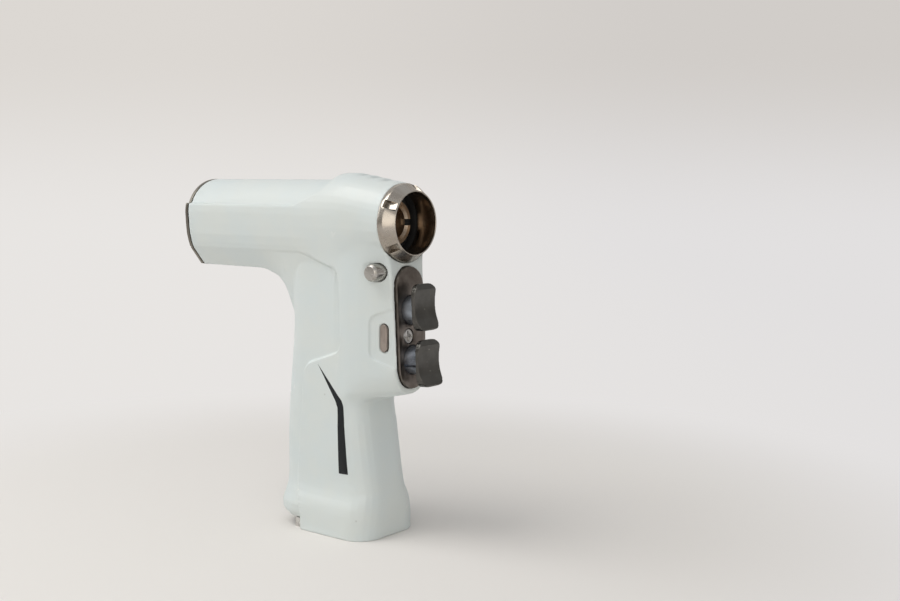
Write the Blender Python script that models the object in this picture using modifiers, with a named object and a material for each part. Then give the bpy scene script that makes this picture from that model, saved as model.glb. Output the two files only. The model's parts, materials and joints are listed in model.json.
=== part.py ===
"""Surgical power drill: a battery handpiece with a cast pistol housing, twin sliding triggers, a
cannulated motor and a two-stage planetary gearbox.

Lengths are in metres. X runs forward along the drive axis, Y runs left and Z runs up. The origin
is on the surface that the drill stands on, halfway along its length. Pieces are laid out from the
housing's front face, so their X values count from there.
"""

import math

import bmesh
import bpy
from mathutils import Vector

# Barrel
AXIS_HEIGHT = 0.1438
BARREL_RADIUS = 0.0191
BARREL_LENGTH = 0.1230
BARREL_FLOOR_DROP = 0.0237
BARREL_FLOOR_HALF_WIDTH = 0.0070
FACET_FOOT_HALF_WIDTH = 0.0102
FACET_FOOT_DROP = 0.0232
FACET_HEAD_HALF_WIDTH = 0.0166
FACET_HEAD_DROP = 0.0151
BORE_RADIUS = 0.0164

# Raised side armour and the hump over the nose
ARMOUR_HALF_WIDTH = 0.0199
ARMOUR_WAIST_RISE = 0.0030
ARMOUR_TOP_RISE = 0.0072
ARMOUR_FOOT_DROP = 0.0144
HUMP_RISE = 0.0222
HUMP_CREST = 0.0270
HUMP_START = 0.0500
NOSE_RADIUS = 0.0178
NOSE_BLEND = 0.0260
REACH_OUT = 0.0300

# Grip
GRIP_HALF_WIDTH = 0.0170
GRIP_STEP = 0.0010
GRIP_FRONT_SETBACK = 0.0138
GRIP_FRONT_ROUND = 0.0120
GRIP_REAR = 0.0648
GRIP_REAR_ROUND = 0.0125
SADDLE_RADIUS = 0.0220
SADDLE_SETBACK = 0.0607
GRIP_WALL = 0.0030
GRIP_HEAD = 0.1360
SHOULDER_SETBACK = 0.0220

# Trigger block under the nose
BLOCK_HALF_WIDTH = 0.0114
BLOCK_EDGE_ROUND = 0.0016
BLOCK_THROAT_HALF_WIDTH = 0.0152
BLOCK_FACE_AT_CHIN = 0.0050
BLOCK_TILT = math.radians(3.0)
BLOCK_WALL_DEPTH = 0.0075
BLOCK_TOP_WALL_DEPTH = 0.0100
CHIN_FACE = 0.0080
CHIN_LIP = 0.0035
CHIN_FILLET = 0.0040

# Foot that takes the battery
FOOT_HALF_WIDTH = 0.02055
FOOT_FRONT_SETBACK = 0.0064
FOOT_CORNER_ROUND = 0.0117
FOOT_HEIGHT = 0.0200
FOOT_WALL = 0.0027
SKIRT_REAR = 0.0460
SHOE_ROOF = 0.0047

# Rear cap
CAP_THICKNESS = 0.0020
CAP_SPIGOT_LENGTH = 0.0100
CAP_SPIGOT_WALL = 0.0016
CAP_SCREW_SOCKET_SHARE = 0.80
CAP_SCREW_DEPTH_SHARE = 0.70
CAP_BORE_RADIUS = 0.0022
CAP_SCREW_RADIUS = 0.0009
CAP_SCREW_HEAD_RADIUS = 0.0016
CAP_SCREW_HEAD_DEPTH = 0.0010
CAP_SCREW_LENGTH = 0.0070
CAP_SCREW_LOW_HALF_SPACING = 0.0072
CAP_SCREW_LOW_DROP = 0.0201
CAP_SCREW_HIGH_HALF_SPACING = 0.0180
CAP_SCREW_HIGH_RISE = 0.0010
SEAL_GROOVE_DEPTH = 0.0008
SEAL_WIRE_RADIUS = 0.00045

# Nose ring
RING_FLANGE_RADIUS = 0.0176
RING_FLANGE_LENGTH = 0.0031
RING_CONE_RADIUS = 0.0173
RING_RIM_RADIUS = 0.0143
RING_REACH = 0.0077
RING_BORE_RADIUS = 0.0138
RING_STEP_SETBACK = 0.0040
RING_TAIL_LENGTH = 0.0080
RING_TAIL_BORE_RADIUS = 0.0145
RING_EDGE = 0.0003
SPANNER_SLOTS = 5
SPANNER_SLOT_WIDTH = 0.0035
SPANNER_SLOT_FLOOR_RADIUS = 0.0150
SPANNER_SLOT_FIRST_TURN = math.radians(52.0)

# Triggers
STEM_RADIUS = 0.0065
UPPER_STEM_DROP = 0.0388
STEM_SPACING = 0.0222
STEM_TAIL = 0.0105
UPPER_STANDOFF = 0.0063
LOWER_STANDOFF = 0.0074
PADDLE_THICKNESS = 0.0027
PADDLE_HALF_WIDTH = 0.0082
PADDLE_CLEARANCE = 0.0014
UPPER_PADDLE_RISE = 0.0119
LOWER_PADDLE_RISE = 0.0093
PADDLE_CORNER = 0.0050
PADDLE_HOLLOW = 0.0012
PADDLE_LIP = 0.0016
LIP_HEIGHT_SHARE = 0.96
BUSH_WALL = 0.0006
MAGNET_RADIUS = 0.0025
MAGNET_LENGTH = 0.0020
SPRING_COIL_RADIUS = 0.0044
SPRING_WIRE_RADIUS = 0.0004
SPRING_TURNS = 5

# Trigger plate
PLATE_HALF_WIDTH = 0.0090
PLATE_HEAD = 0.0195
PLATE_TAIL = 0.0128
PLATE_THICKNESS = 0.0032
PLATE_PROUD = 0.0013
PLATE_SCREW_DROP = 0.0003
PLATE_SCREW_OFFSET = 0.0026
PLATE_SCREW_WALL = 0.0010
PLATE_SCREW_SLOT_SHARE = 0.72
PLATE_SCREW_HEAD_DEPTH = 0.0016
PLATE_SCREW_RADIUS = 0.0011
PLATE_SCREW_LENGTH = 0.0055
PLATE_SCREW_SLOT = 0.0007

# Trigger frame and boards
FRAME_SETBACK = 0.0215
FRAME_THICKNESS = 0.0022
FRAME_TAIL = 0.0113
FRAME_HEAD = 0.0115
BOARD_THICKNESS = 0.0014
SENSOR_BOARD_HEAD = 0.0070
SENSOR_BOARD_TAIL = 0.0068
SENSOR_BOARD_WIDTH_SHARE = 0.80
POWER_BOARD_SETBACK = 0.0400
POWER_BOARD_DROP = 0.0578
POWER_BOARD_STAND = 0.0060
POWER_BLOCK_DEPTH = 0.0170
POWER_BLOCK_HALF_WIDTH = 0.0112
POWER_BLOCK_HEAD_GAP = 0.0025
POWER_BLOCK_FOOT_GAP = 0.0050

# Safety slide across the block
SLIDE_DROP = 0.0009
SLIDE_SETBACK = 0.0012
SLIDE_HALF_WIDTH = 0.00185
SLIDE_HALF_HEIGHT = 0.0062
SLIDE_HEAD_LENGTH = 0.0032
SLIDE_WEB_HALF_HEIGHT = 0.0029
SLIDE_WEB_HALF_WIDTH = 0.0008
SLIDE_TRAVEL = 0.0030
SLIDE_PROUD = 0.0003
PAD_FRONT_HALF_WIDTH = 0.0103
PAD_SLANT = math.radians(17.0)
PAD_REAR_SETBACK = 0.0082
PAD_FRONT_TAIL = 0.0134
PAD_FRONT_HEAD = 0.0136
PAD_REAR_TAIL = 0.0088
PAD_REAR_HEAD = 0.0092
PAD_ROUND = 0.0042

# Release button and the lock pin it lowers
BUTTON_DROP = 0.0216
BUTTON_SETBACK = 0.0035
BUTTON_RADIUS = 0.0039
BUTTON_FACE_RADIUS = 0.0030
BUTTON_CONE_LENGTH = 0.0012
BUTTON_REACH = 0.0188
BUTTON_TRAVEL = 0.0040
BUTTON_WAIST_RADIUS = 0.0024
BUTTON_TAIL = 0.0050
BUTTON_BORE_END = 0.0112
LOCK_PIN_RADIUS = 0.0012
LOCK_PIN_REACH = 0.0009
BUTTON_SPRING_RADIUS = 0.0030

# Motor
SHAFT_RADIUS = 0.0040
SHAFT_BORE_RADIUS = 0.0022
CANNULA_RADIUS = 0.0019
CANNULA_BORE_RADIUS = 0.0014
MOTOR_REAR = 0.0930
MOTOR_LENGTH = 0.0300
STATOR_TEETH = 6
STATOR_BORE_RADIUS = 0.0098
STATOR_SLOT_RADIUS = 0.0140
STATOR_TOOTH_SHARE = 0.45
WINDING_OVERHANG = 0.0037
ROTOR_RADIUS = 0.0092
SHAFT_BEARING_RADIUS = 0.0080
SHAFT_BEARING_WIDTH = 0.0048
END_PLATE_THICKNESS = 0.0060
END_PLATE_FRONT = 0.0508
BAR_WIDTH_SHARE = 0.75
BEARING_RING_SHARE = 0.28

# Planetary gearbox: both stages share one ring gear
GEAR_MODULE = 0.0006
SUN_TEETH = 15
PLANET_TEETH = 15
RING_TEETH = SUN_TEETH + 2 * PLANET_TEETH
PLANETS = 3
PRESSURE_ANGLE = math.radians(25.0)
TOOTH_ADDENDUM_SHARE = 0.90
TOOTH_DEDENDUM_SHARE = 1.20
TOOTH_BACKLASH = 0.00012
PLANET_WIDTH = 0.0075
PLANET_PIN_RADIUS = 0.0015
CARRIER_RADIUS = 0.0118
CARRIER_THICKNESS = 0.0026
CARRIER_PLAY = 0.0004

# Output spindle
SPINDLE_RADIUS = 0.0070
HUB_RADIUS = 0.0104
HUB_SOCKET_RADIUS = 0.0074
HUB_SETBACK = 0.0042
HUB_SOCKET_DEPTH = 0.0085
HUB_LENGTH = 0.0105
HUB_CHAMFER = 0.0011
DRIVE_SLOTS = 4
DRIVE_SLOT_WIDTH = 0.0030
DRIVE_SLOT_DEPTH = 0.0035
SPINDLE_BEARING_WIDTH = 0.0050
SPACER_BORE_RADIUS = 0.0100
NOSE_SEAL_WIDTH = 0.0024

# Battery connection
TERMINAL_BLOCK_HEIGHT = 0.0060
BLADES = 3
BLADE_SPACING = 0.0075
BLADE_THICKNESS = 0.0008
BLADE_LENGTH = 0.0080
BLADE_REACH = 0.0036
BLADE_SETBACK = 0.0340
RAIL_REAR = 0.0515
RAIL_FRONT = 0.0140
RAIL_THICKNESS = 0.0014
RAIL_LIP = 0.0026

# Leads from the board to the motor
LEAD_RADIUS = 0.0010
LEAD_WAY_DROP = 0.0318
LEAD_BEND_SHARE = 0.35

# Thumb dimples on the hump
DIMPLES = 3
DIMPLE_PITCH = 0.0068
DIMPLE_FIRST_SETBACK = 0.0080
DIMPLE_LENGTH = 0.0040
DIMPLE_WIDTH = 0.0110
DIMPLE_DEPTH = 0.0006

# Clearances and fineness
GAP = 0.0003
RUNNING_GAP = 0.0003
OVERRUN = 0.0020
MERGE = 0.00001
ROUND_STEPS = 48
INNER_STEPS = 32
BEARING_STEPS = 24
SMALL_STEPS = 16
PIN_STEPS = 10
ARC_STEPS = 6
SIDE_STEPS = 5
SPRING_STEPS = 8

FINISHES = {
    "pale_enamel": ((0.640, 0.690, 0.680), 0.35, 0.0),
    "satin_steel": ((0.560, 0.540, 0.500), 0.30, 1.0),
    "silver_alloy": ((0.600, 0.590, 0.570), 0.35, 1.0),
    "warm_nickel": ((0.560, 0.520, 0.470), 0.25, 1.0),
    "dark_steel": ((0.160, 0.145, 0.130), 0.40, 1.0),
    "paddle_grey": ((0.075, 0.070, 0.066), 0.35, 1.0),
    "bronze": ((0.420, 0.300, 0.180), 0.30, 1.0),
    "gear_steel": ((0.420, 0.420, 0.430), 0.30, 1.0),
    "lamination": ((0.220, 0.230, 0.250), 0.45, 1.0),
    "copper": ((0.720, 0.380, 0.220), 0.40, 1.0),
    "magnet": ((0.300, 0.300, 0.320), 0.35, 1.0),
    "black_rubber": ((0.020, 0.020, 0.022), 0.70, 0.0),
    "black_plastic": ((0.030, 0.030, 0.032), 0.50, 0.0),
    "board_green": ((0.030, 0.140, 0.060), 0.45, 0.0),
    "contact_gold": ((0.830, 0.610, 0.260), 0.25, 1.0),
    "lead_red": ((0.350, 0.030, 0.020), 0.55, 0.0),
}


# Places that follow the drive axis and the trigger stems

UPPER_STEM_HEIGHT = AXIS_HEIGHT - UPPER_STEM_DROP
LOWER_STEM_HEIGHT = UPPER_STEM_HEIGHT - STEM_SPACING
MID_STEM_HEIGHT = (UPPER_STEM_HEIGHT + LOWER_STEM_HEIGHT) / 2
PADDLE_HEIGHT = STEM_SPACING - PADDLE_CLEARANCE
PLATE_TOP = UPPER_STEM_HEIGHT + PLATE_HEAD
PLATE_BOTTOM = LOWER_STEM_HEIGHT - PLATE_TAIL
PLATE_SCREW_HEIGHT = MID_STEM_HEIGHT - PLATE_SCREW_DROP
PLATE_SCREW_HEAD_RADIUS = STEM_SPACING / 2 - STEM_RADIUS - RUNNING_GAP - PLATE_SCREW_WALL
CHIN_BOTTOM = PLATE_BOTTOM - CHIN_LIP
CHIN_HEIGHT = PLATE_BOTTOM + CHIN_FACE
GRIP_TOP = CHIN_BOTTOM - CHIN_FILLET
SLIDE_HEIGHT = MID_STEM_HEIGHT - SLIDE_DROP
PAD_LOW_HEIGHT = SLIDE_HEIGHT - PAD_FRONT_TAIL
PAD_HIGH_HEIGHT = SLIDE_HEIGHT + PAD_FRONT_HEAD
PAD_REAR_LOW_HEIGHT = SLIDE_HEIGHT - PAD_REAR_TAIL
PAD_REAR_HIGH_HEIGHT = SLIDE_HEIGHT + PAD_REAR_HEAD
FRAME_TOP = UPPER_STEM_HEIGHT + FRAME_HEAD
FRAME_BOTTOM = LOWER_STEM_HEIGHT - FRAME_TAIL
SENSOR_BOARD_TOP = UPPER_STEM_HEIGHT + SENSOR_BOARD_HEAD
SENSOR_BOARD_BOTTOM = LOWER_STEM_HEIGHT - SENSOR_BOARD_TAIL
POWER_BOARD_TOP = AXIS_HEIGHT - POWER_BOARD_DROP
POWER_BOARD_BOTTOM = SHOE_ROOF + GAP + TERMINAL_BLOCK_HEIGHT + POWER_BOARD_STAND
POWER_BLOCK_TOP = FRAME_BOTTOM - POWER_BLOCK_HEAD_GAP
POWER_BLOCK_BOTTOM = POWER_BOARD_BOTTOM + POWER_BLOCK_FOOT_GAP
BUTTON_HEIGHT = AXIS_HEIGHT - BUTTON_DROP
LEAD_WAY_LOW = AXIS_HEIGHT - LEAD_WAY_DROP


# Derived places


def block_face(height):
    """X of the trigger block's tilted front face at a height."""
    return BLOCK_FACE_AT_CHIN - (height - CHIN_HEIGHT) * math.tan(BLOCK_TILT)


def plate_face(height):
    """X of the trigger plate's front at a height."""
    return block_face(height) + PLATE_PROUD / math.cos(BLOCK_TILT)


GEAR_CENTRE = GEAR_MODULE * (SUN_TEETH + PLANET_TEETH) / 2
TRIGGER_REACH = plate_face(LOWER_STEM_HEIGHT) \
    + (LOWER_STANDOFF + PADDLE_THICKNESS + PADDLE_LIP) * math.cos(BLOCK_TILT) \
    + (LIP_HEIGHT_SHARE * PADDLE_HEIGHT - LOWER_PADDLE_RISE) * math.sin(BLOCK_TILT)
FACE_X = (BARREL_LENGTH + CAP_THICKNESS - TRIGGER_REACH) / 2
RING_GEAR_REAR = -END_PLATE_FRONT
STAGE_ONE_REAR = RING_GEAR_REAR + CARRIER_PLAY
CARRIER_ONE_REAR = STAGE_ONE_REAR + PLANET_WIDTH + CARRIER_PLAY
STAGE_TWO_REAR = CARRIER_ONE_REAR + CARRIER_THICKNESS + CARRIER_PLAY
CARRIER_TWO_REAR = STAGE_TWO_REAR + PLANET_WIDTH + CARRIER_PLAY
SPINDLE_REAR = CARRIER_TWO_REAR + CARRIER_THICKNESS
HUB_FRONT = -HUB_SETBACK
HUB_REAR = HUB_FRONT - HUB_LENGTH
SEAT_RADIUS = BORE_RADIUS - GAP


# Small tools


def share_curve(table, at):
    """Value at a share along a smooth curve through (share, value) pairs."""
    at = min(max(at, table[0][0]), table[-1][0])
    slopes = [(table[min(k + 1, len(table) - 1)][1] - table[max(k - 1, 0)][1])
              / (table[min(k + 1, len(table) - 1)][0] - table[max(k - 1, 0)][0])
              for k in range(len(table))]
    for k, ((low, first), (high, last)) in enumerate(zip(table, table[1:])):
        if at <= high:
            span = high - low
            step = (at - low) / span
            back = step - 1
            return (first * (1 + 2 * step) * back * back + last * step * step * (3 - 2 * step)
                    + slopes[k] * span * step * back * back
                    + slopes[k + 1] * span * step * step * back)
    return table[-1][1]


def ease(at, start, end):
    """Smooth step from 0 at start to 1 at end."""
    step = min(max((at - start) / (end - start), 0), 1)
    return step * step * (3 - 2 * step)


def mix(first, last, step):
    """Point by point mix of two equal outlines."""
    return [(a[0] + (b[0] - a[0]) * step, a[1] + (b[1] - a[1]) * step)
            for a, b in zip(first, last)]


def circle(radius, steps, centre=(0, 0), turn=0.0):
    """Closed round outline."""
    return [(centre[0] + radius * math.cos(turn + 2 * math.pi * k / steps),
             centre[1] + radius * math.sin(turn + 2 * math.pi * k / steps)) for k in range(steps)]


def rectangle(low, high):
    """Closed rectangular outline between two corners."""
    return [(low[0], low[1]), (high[0], low[1]), (high[0], high[1]), (low[0], high[1])]


def pill(half_length, half_width, centre=(0, 0), steps=12):
    """Closed outline with round ends, long in its first direction."""
    reach = half_length - half_width
    points = []
    for side in (1, -1):
        for k in range(steps + 1):
            angle = -math.pi / 2 + math.pi * k / steps
            points.append((centre[0] + side * (reach + half_width * math.cos(angle)),
                           centre[1] + side * half_width * math.sin(angle)))
    return points


def rounded(corners, steps=4):
    """Closed outline whose corners (x, y, radius) are rounded by arcs."""
    points = []
    count = len(corners)
    for k, (x, y, radius) in enumerate(corners):
        here = Vector((x, y))
        back = (Vector(corners[k - 1][:2]) - here).normalized()
        ahead = (Vector(corners[(k + 1) % count][:2]) - here).normalized()
        if radius <= 0:
            points.append((here.x, here.y))
            continue
        half = back.angle(ahead) / 2
        centre = here + (back + ahead).normalized() * (radius / math.sin(half))
        start = here + back * (radius / math.tan(half)) - centre
        end = here + ahead * (radius / math.tan(half)) - centre
        for step in range(steps + 1):
            spoke = start.lerp(end, step / steps).normalized() * radius
            points.append((centre.x + spoke.x, centre.y + spoke.y))
    return points


def collection(name):
    """New collection in the scene."""
    made = bpy.data.collections.new(name)
    bpy.context.scene.collection.children.link(made)
    return made


def finish(name):
    """Material for one finish."""
    if name in bpy.data.materials:
        return bpy.data.materials[name]
    colour, roughness, metallic = FINISHES[name]
    made = bpy.data.materials.new(name)
    made.use_nodes = True
    shader = made.node_tree.nodes["Principled BSDF"]
    shader.inputs["Base Color"].default_value = (*colour, 1.0)
    shader.inputs["Roughness"].default_value = roughness
    shader.inputs["Metallic"].default_value = metallic
    made.diffuse_color = (*colour, 1.0)
    return made


def frame_empty(name, place, turn=(0, 0, 0), parent=None):
    """Empty that carries pieces: a joint's axis or a local frame."""
    made = bpy.data.objects.new(name, None)
    made.empty_display_size = STEM_RADIUS
    bpy.data.collections["drill"].objects.link(made)
    made.location = place
    made.rotation_euler = turn
    made.parent = parent
    return made


def place_object(name, mesh, parent, finish_name=None):
    """Object for a mesh: a piece with a finish, or a cutter without one."""
    made = bpy.data.objects.new(name, mesh)
    made.parent = parent
    if finish_name is None:
        bpy.data.collections["cutters"].objects.link(made)
        made.hide_render = True
        made.display_type = "WIRE"
        return made
    bpy.data.collections["drill"].objects.link(made)
    mesh.materials.append(finish(finish_name))
    return made


def shade(mesh):
    """Smooth shading with crisp corners."""
    mesh.shade_smooth()
    mesh.set_sharp_from_angle(angle=math.radians(35))


def mesh_from(bm, name):
    """Finished mesh from a bmesh, with its faces pointing out."""
    bmesh.ops.remove_doubles(bm, verts=bm.verts, dist=MERGE)
    bmesh.ops.recalc_face_normals(bm, faces=bm.faces)
    mesh = bpy.data.meshes.new(name)
    bm.to_mesh(mesh)
    bm.free()
    shade(mesh)
    return mesh


def loft(name, rings, parent, finish_name=None):
    """Closed skin through rings with equal numbers of points."""
    bm = bmesh.new()
    loops = [[bm.verts.new(point) for point in ring] for ring in rings]
    for low, high in zip(loops, loops[1:]):
        for a, b, c, d in zip(low, low[1:] + low[:1], high[1:] + high[:1], high):
            bm.faces.new((a, b, c, d))
    bm.faces.new(list(reversed(loops[0])))
    bm.faces.new(loops[-1])
    return place_object(name, mesh_from(bm, name), parent, finish_name)


def turned(name, profile, parent, finish_name=None, steps=INNER_STEPS):
    """Turned piece about Z from (radius, height) points that run down its outer side first."""
    mesh = bpy.data.meshes.new(name)
    count = len(profile)
    on_axis = profile[0][0] == 0
    edges = [(k, k + 1) for k in range(count - 1)]
    if not on_axis:
        edges.append((count - 1, 0))
    mesh.from_pydata([(radius, 0, height) for radius, height in profile], edges, [])
    made = place_object(name, mesh, parent, finish_name)
    screw = made.modifiers.new("turn", "SCREW")
    screw.steps = steps
    screw.render_steps = steps
    screw.use_merge_vertices = True
    screw.merge_threshold = MERGE
    screw.use_smooth_shade = False
    return made


def sleeve(outer, inner, front, rear, edge=0.0):
    """Profile of a plain ring, with its outer corners broken by edge."""
    if edge == 0:
        return [(outer, front), (outer, rear), (inner, rear), (inner, front)]
    return [(outer - edge, front), (outer, front - edge), (outer, rear + edge),
            (outer - edge, rear), (inner, rear), (inner, front)]


def rod(radius, front, rear, edge=0.0):
    """Profile of a solid pin."""
    if edge == 0:
        return [(0, front), (radius, front), (radius, rear), (0, rear)]
    return [(0, front), (radius - edge, front), (radius, front - edge), (radius, rear), (0, rear)]


def flat(name, loops, low, high, parent, finish_name=None):
    """Flat piece: outlines in local XY, from local Z low to high. Inner outlines are holes."""
    curve = bpy.data.curves.new(name, "CURVE")
    curve.dimensions = "2D"
    curve.fill_mode = "BOTH"
    curve.extrude = (high - low) / 2
    for outline in loops:
        spline = curve.splines.new("POLY")
        spline.points.add(len(outline) - 1)
        for point, (x, y) in zip(spline.points, outline):
            point.co = (x, y, 0, 1)
        spline.use_cyclic_u = True
    return from_curve(name, curve, (0, 0, (low + high) / 2), parent, finish_name)


def from_curve(name, curve, shift, parent, finish_name=None):
    """Mesh piece from a curve, with its caps welded."""
    drawn = bpy.data.objects.new(name + "_curve", curve)
    bpy.context.scene.collection.objects.link(drawn)
    shape = drawn.evaluated_get(bpy.context.evaluated_depsgraph_get())
    bm = bmesh.new()
    rough = bpy.data.meshes.new_from_object(shape)
    bm.from_mesh(rough)
    bmesh.ops.translate(bm, verts=bm.verts, vec=shift)
    bpy.data.meshes.remove(rough)
    bpy.data.objects.remove(drawn)
    bpy.data.curves.remove(curve)
    return place_object(name, mesh_from(bm, name), parent, finish_name)


def upright(name, loops, low, high, parent, finish_name=None):
    """Flat piece whose outlines are in X and Z, from Y low to high."""
    made = flat(name, loops, -high, -low, parent, finish_name)
    made.rotation_euler = (math.pi / 2, 0, 0)
    return made


def cut(target, cutter, operation="DIFFERENCE"):
    """Boolean of one object on another."""
    made = target.modifiers.new(cutter.name[:50], "BOOLEAN")
    made.operation = operation
    made.object = cutter
    made.solver = "EXACT"


def join(target, other):
    """Boolean union."""
    cut(target, other, "UNION")


# Housing


def mirrored(half, low_side):
    """Closed ring from a half outline that starts and ends on the middle plane."""
    return half + [low_side(point) for point in reversed(half[1:-1])]


def barrel_half(drop):
    """Half section of the bare barrel, from its top round to its floor at a drop."""
    stretch = (drop - FACET_HEAD_DROP) / (BARREL_FLOOR_DROP - FACET_HEAD_DROP)
    arc = [math.radians(90 - 98 * k / 18) for k in range(19)]
    half = [(BARREL_RADIUS * math.cos(a), BARREL_RADIUS * math.sin(a)) for a in arc]
    half[0] = (0, BARREL_RADIUS)
    foot = FACET_HEAD_DROP + (FACET_FOOT_DROP - FACET_HEAD_DROP) * stretch
    half.append((FACET_HEAD_HALF_WIDTH, -FACET_HEAD_DROP))
    for share in (1 / 3, 2 / 3):
        half.append((FACET_HEAD_HALF_WIDTH
                     + (FACET_FOOT_HALF_WIDTH - FACET_HEAD_HALF_WIDTH) * share,
                     -FACET_HEAD_DROP - (foot - FACET_HEAD_DROP) * share))
    half.append((FACET_FOOT_HALF_WIDTH, -foot))
    half.append((BARREL_FLOOR_HALF_WIDTH, -drop))
    half.append((0, -drop))
    return half


def barrel_ring(x, drop):
    """Barrel section as a ring across X."""
    ring = mirrored(barrel_half(drop), lambda point: (-point[0], point[1]))
    return [(x, y, AXIS_HEIGHT + z) for y, z in ring]


def saddle_stations():
    """Places along the saddle where the barrel's floor sweeps down into the grip."""
    centre_x = -SADDLE_SETBACK - SADDLE_RADIUS
    centre_drop = BARREL_FLOOR_DROP + SADDLE_RADIUS
    stations = []
    for degrees in (90, 76, 62, 50, 39, 29, 20, 12, 5):
        angle = math.radians(degrees)
        stations.append((centre_x + SADDLE_RADIUS * math.cos(angle),
                         centre_drop - SADDLE_RADIUS * math.sin(angle)))
    return stations


def armour_half(x):
    """Half section of the raised outer form: side armour behind, hump, and round nose."""
    crest_shares = ((0.00, 0.00), (0.15, 0.20), (0.36, 0.42), (0.57, 0.64), (0.85, 0.94),
                    (1.00, 1.00))
    hump = NOSE_RADIUS + (HUMP_RISE - NOSE_RADIUS) * share_curve(crest_shares, -x / HUMP_CREST)
    width = NOSE_RADIUS + (ARMOUR_HALF_WIDTH - NOSE_RADIUS) * ease(-x, 0, NOSE_BLEND)
    waist = ARMOUR_WAIST_RISE * ease(-x, 0, NOSE_BLEND)
    upper = []
    for k in range(11):
        angle = math.pi / 2 * k / 10
        upper.append((width * math.sin(angle), waist + (hump - waist) * math.cos(angle)))
    upper[0] = (0, hump)
    panel_shares = ((0.985, 0.17), (0.960, 0.53), (0.910, 0.80), (0.860, 1.00), (0.700, 1.18),
                    (0.400, 1.29), (0.000, 1.32))
    deep_shares = ((0.985, 0.17), (0.952, 0.53), (0.922, 0.80), (0.897, 1.00), (0.874, 1.25),
                   (0.855, 1.55), (0.000, 1.60))
    panel = [(ARMOUR_HALF_WIDTH * a, -ARMOUR_FOOT_DROP * b) for a, b in panel_shares]
    deep = [(ARMOUR_HALF_WIDTH * a, -ARMOUR_FOOT_DROP * b) for a, b in deep_shares]
    turns = (12, 26, 39, 51, 65, 78, 90)
    nose = [(NOSE_RADIUS * math.cos(math.radians(turn)), -NOSE_RADIUS * math.sin(math.radians(turn)))
            for turn in turns]
    nose[-1] = (0, -NOSE_RADIUS)
    lower = mix(panel, deep, ease(x, -HUMP_START - OVERRUN, -HUMP_START + 7 * OVERRUN))
    lower = mix(nose, lower, ease(-x, 0, NOSE_BLEND))
    return upper + lower


def armour_ring(x):
    """Raised form's section as a ring across X."""
    ring = mirrored(armour_half(x), lambda point: (-point[0], point[1]))
    return [(x, y, AXIS_HEIGHT + z) for y, z in ring]


def grip_half_width(height, step):
    """Grip's half width; step 0 is the raised side and 1 the recessed rear."""
    plain = GRIP_HALF_WIDTH - GRIP_STEP * step
    flare_shares = ((0.00, 1.00), (0.25, 0.90), (0.45, 0.76), (0.65, 0.52), (0.85, 0.22),
                    (1.05, 0.06), (1.20, 0.00))
    return plain + (FOOT_HALF_WIDTH - plain) * share_curve(flare_shares, height / FOOT_HEIGHT)


def grip_front(height):
    """X of the grip's front below the trigger block."""
    setback_shares = ((0.00, 0.464), (0.16, 0.450), (0.24, 0.440), (0.30, 0.490), (0.36, 0.545),
                      (0.50, 0.650), (0.70, 0.785), (0.88, 0.900), (1.00, 1.000))
    return -GRIP_FRONT_SETBACK * share_curve(setback_shares, height / GRIP_TOP)


def grip_rear(height):
    """X of the grip's rear."""
    reach_shares = ((0.00, 0.955), (0.010, 0.990), (0.030, 1.020), (0.070, 1.022), (0.110, 1.012),
                    (0.150, 1.001), (0.40, 0.998), (0.55, 0.985), (0.70, 0.962), (0.84, 0.940),
                    (0.92, 0.936), (1.00, 0.930))
    share = (height - SHOE_ROOF) / (AXIS_HEIGHT - BARREL_RADIUS - SADDLE_RADIUS - SHOE_ROOF)
    return -GRIP_REAR * share_curve(reach_shares, share)


def plan_ring(height, front, rear, nose_half_width, half_width, front_round, rear_round):
    """Level section of the grip: round or flat nose, sides that widen to full, round rear."""
    half = []
    for k in range(ARC_STEPS + 1):
        angle = math.pi / 2 * k / ARC_STEPS
        half.append((front - front_round + front_round * math.cos(angle),
                     nose_half_width - front_round + front_round * math.sin(angle)))
    shoulder = min(-SHOULDER_SETBACK, front - front_round - OVERRUN)
    for k in range(1, SIDE_STEPS + 1):
        step = k / SIDE_STEPS
        half.append((front - front_round + (shoulder - front + front_round) * step,
                     nose_half_width
                     + (half_width - nose_half_width) * math.sin(math.pi / 2 * step)))
    for k in range(ARC_STEPS + 1):
        angle = math.pi / 2 * (1 + k / ARC_STEPS)
        half.append((rear + rear_round + rear_round * math.cos(angle),
                     half_width - rear_round + rear_round * math.sin(angle)))
    half = [(front, 0)] + half + [(rear, 0)]
    ring = mirrored(half, lambda point: (point[0], -point[1]))
    return [(x, y, height) for x, y in ring]


def grip_core(parent):
    """Recessed grip behind the armour: the whole rear, up into the barrel."""
    rings = []
    low_shares = (0.000, 0.010, 0.030, 0.070, 0.110, 0.150, 0.200, 0.400, 0.550, 0.700, 0.840,
                  0.920, 1.000)
    span = AXIS_HEIGHT - BARREL_RADIUS - SADDLE_RADIUS - SHOE_ROOF
    heights = [SHOE_ROOF + span * share for share in low_shares]
    heights.append(AXIS_HEIGHT - BARREL_RADIUS + OVERRUN)
    for height in heights:
        lift = min((height - SHOE_ROOF) / (FOOT_HEIGHT / 4), 1)
        width = grip_half_width(max(height, FOOT_HEIGHT / 2), 1) - GAP
        width -= GRIP_STEP * 2 * (1 - math.sqrt(lift))
        front = grip_front(min(height, GRIP_TOP)) - GRIP_WALL / 2
        rings.append(plan_ring(height, front, grip_rear(height), width, width,
                               GRIP_FRONT_ROUND, GRIP_REAR_ROUND))
    return loft("grip_core", rings, parent)


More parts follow.
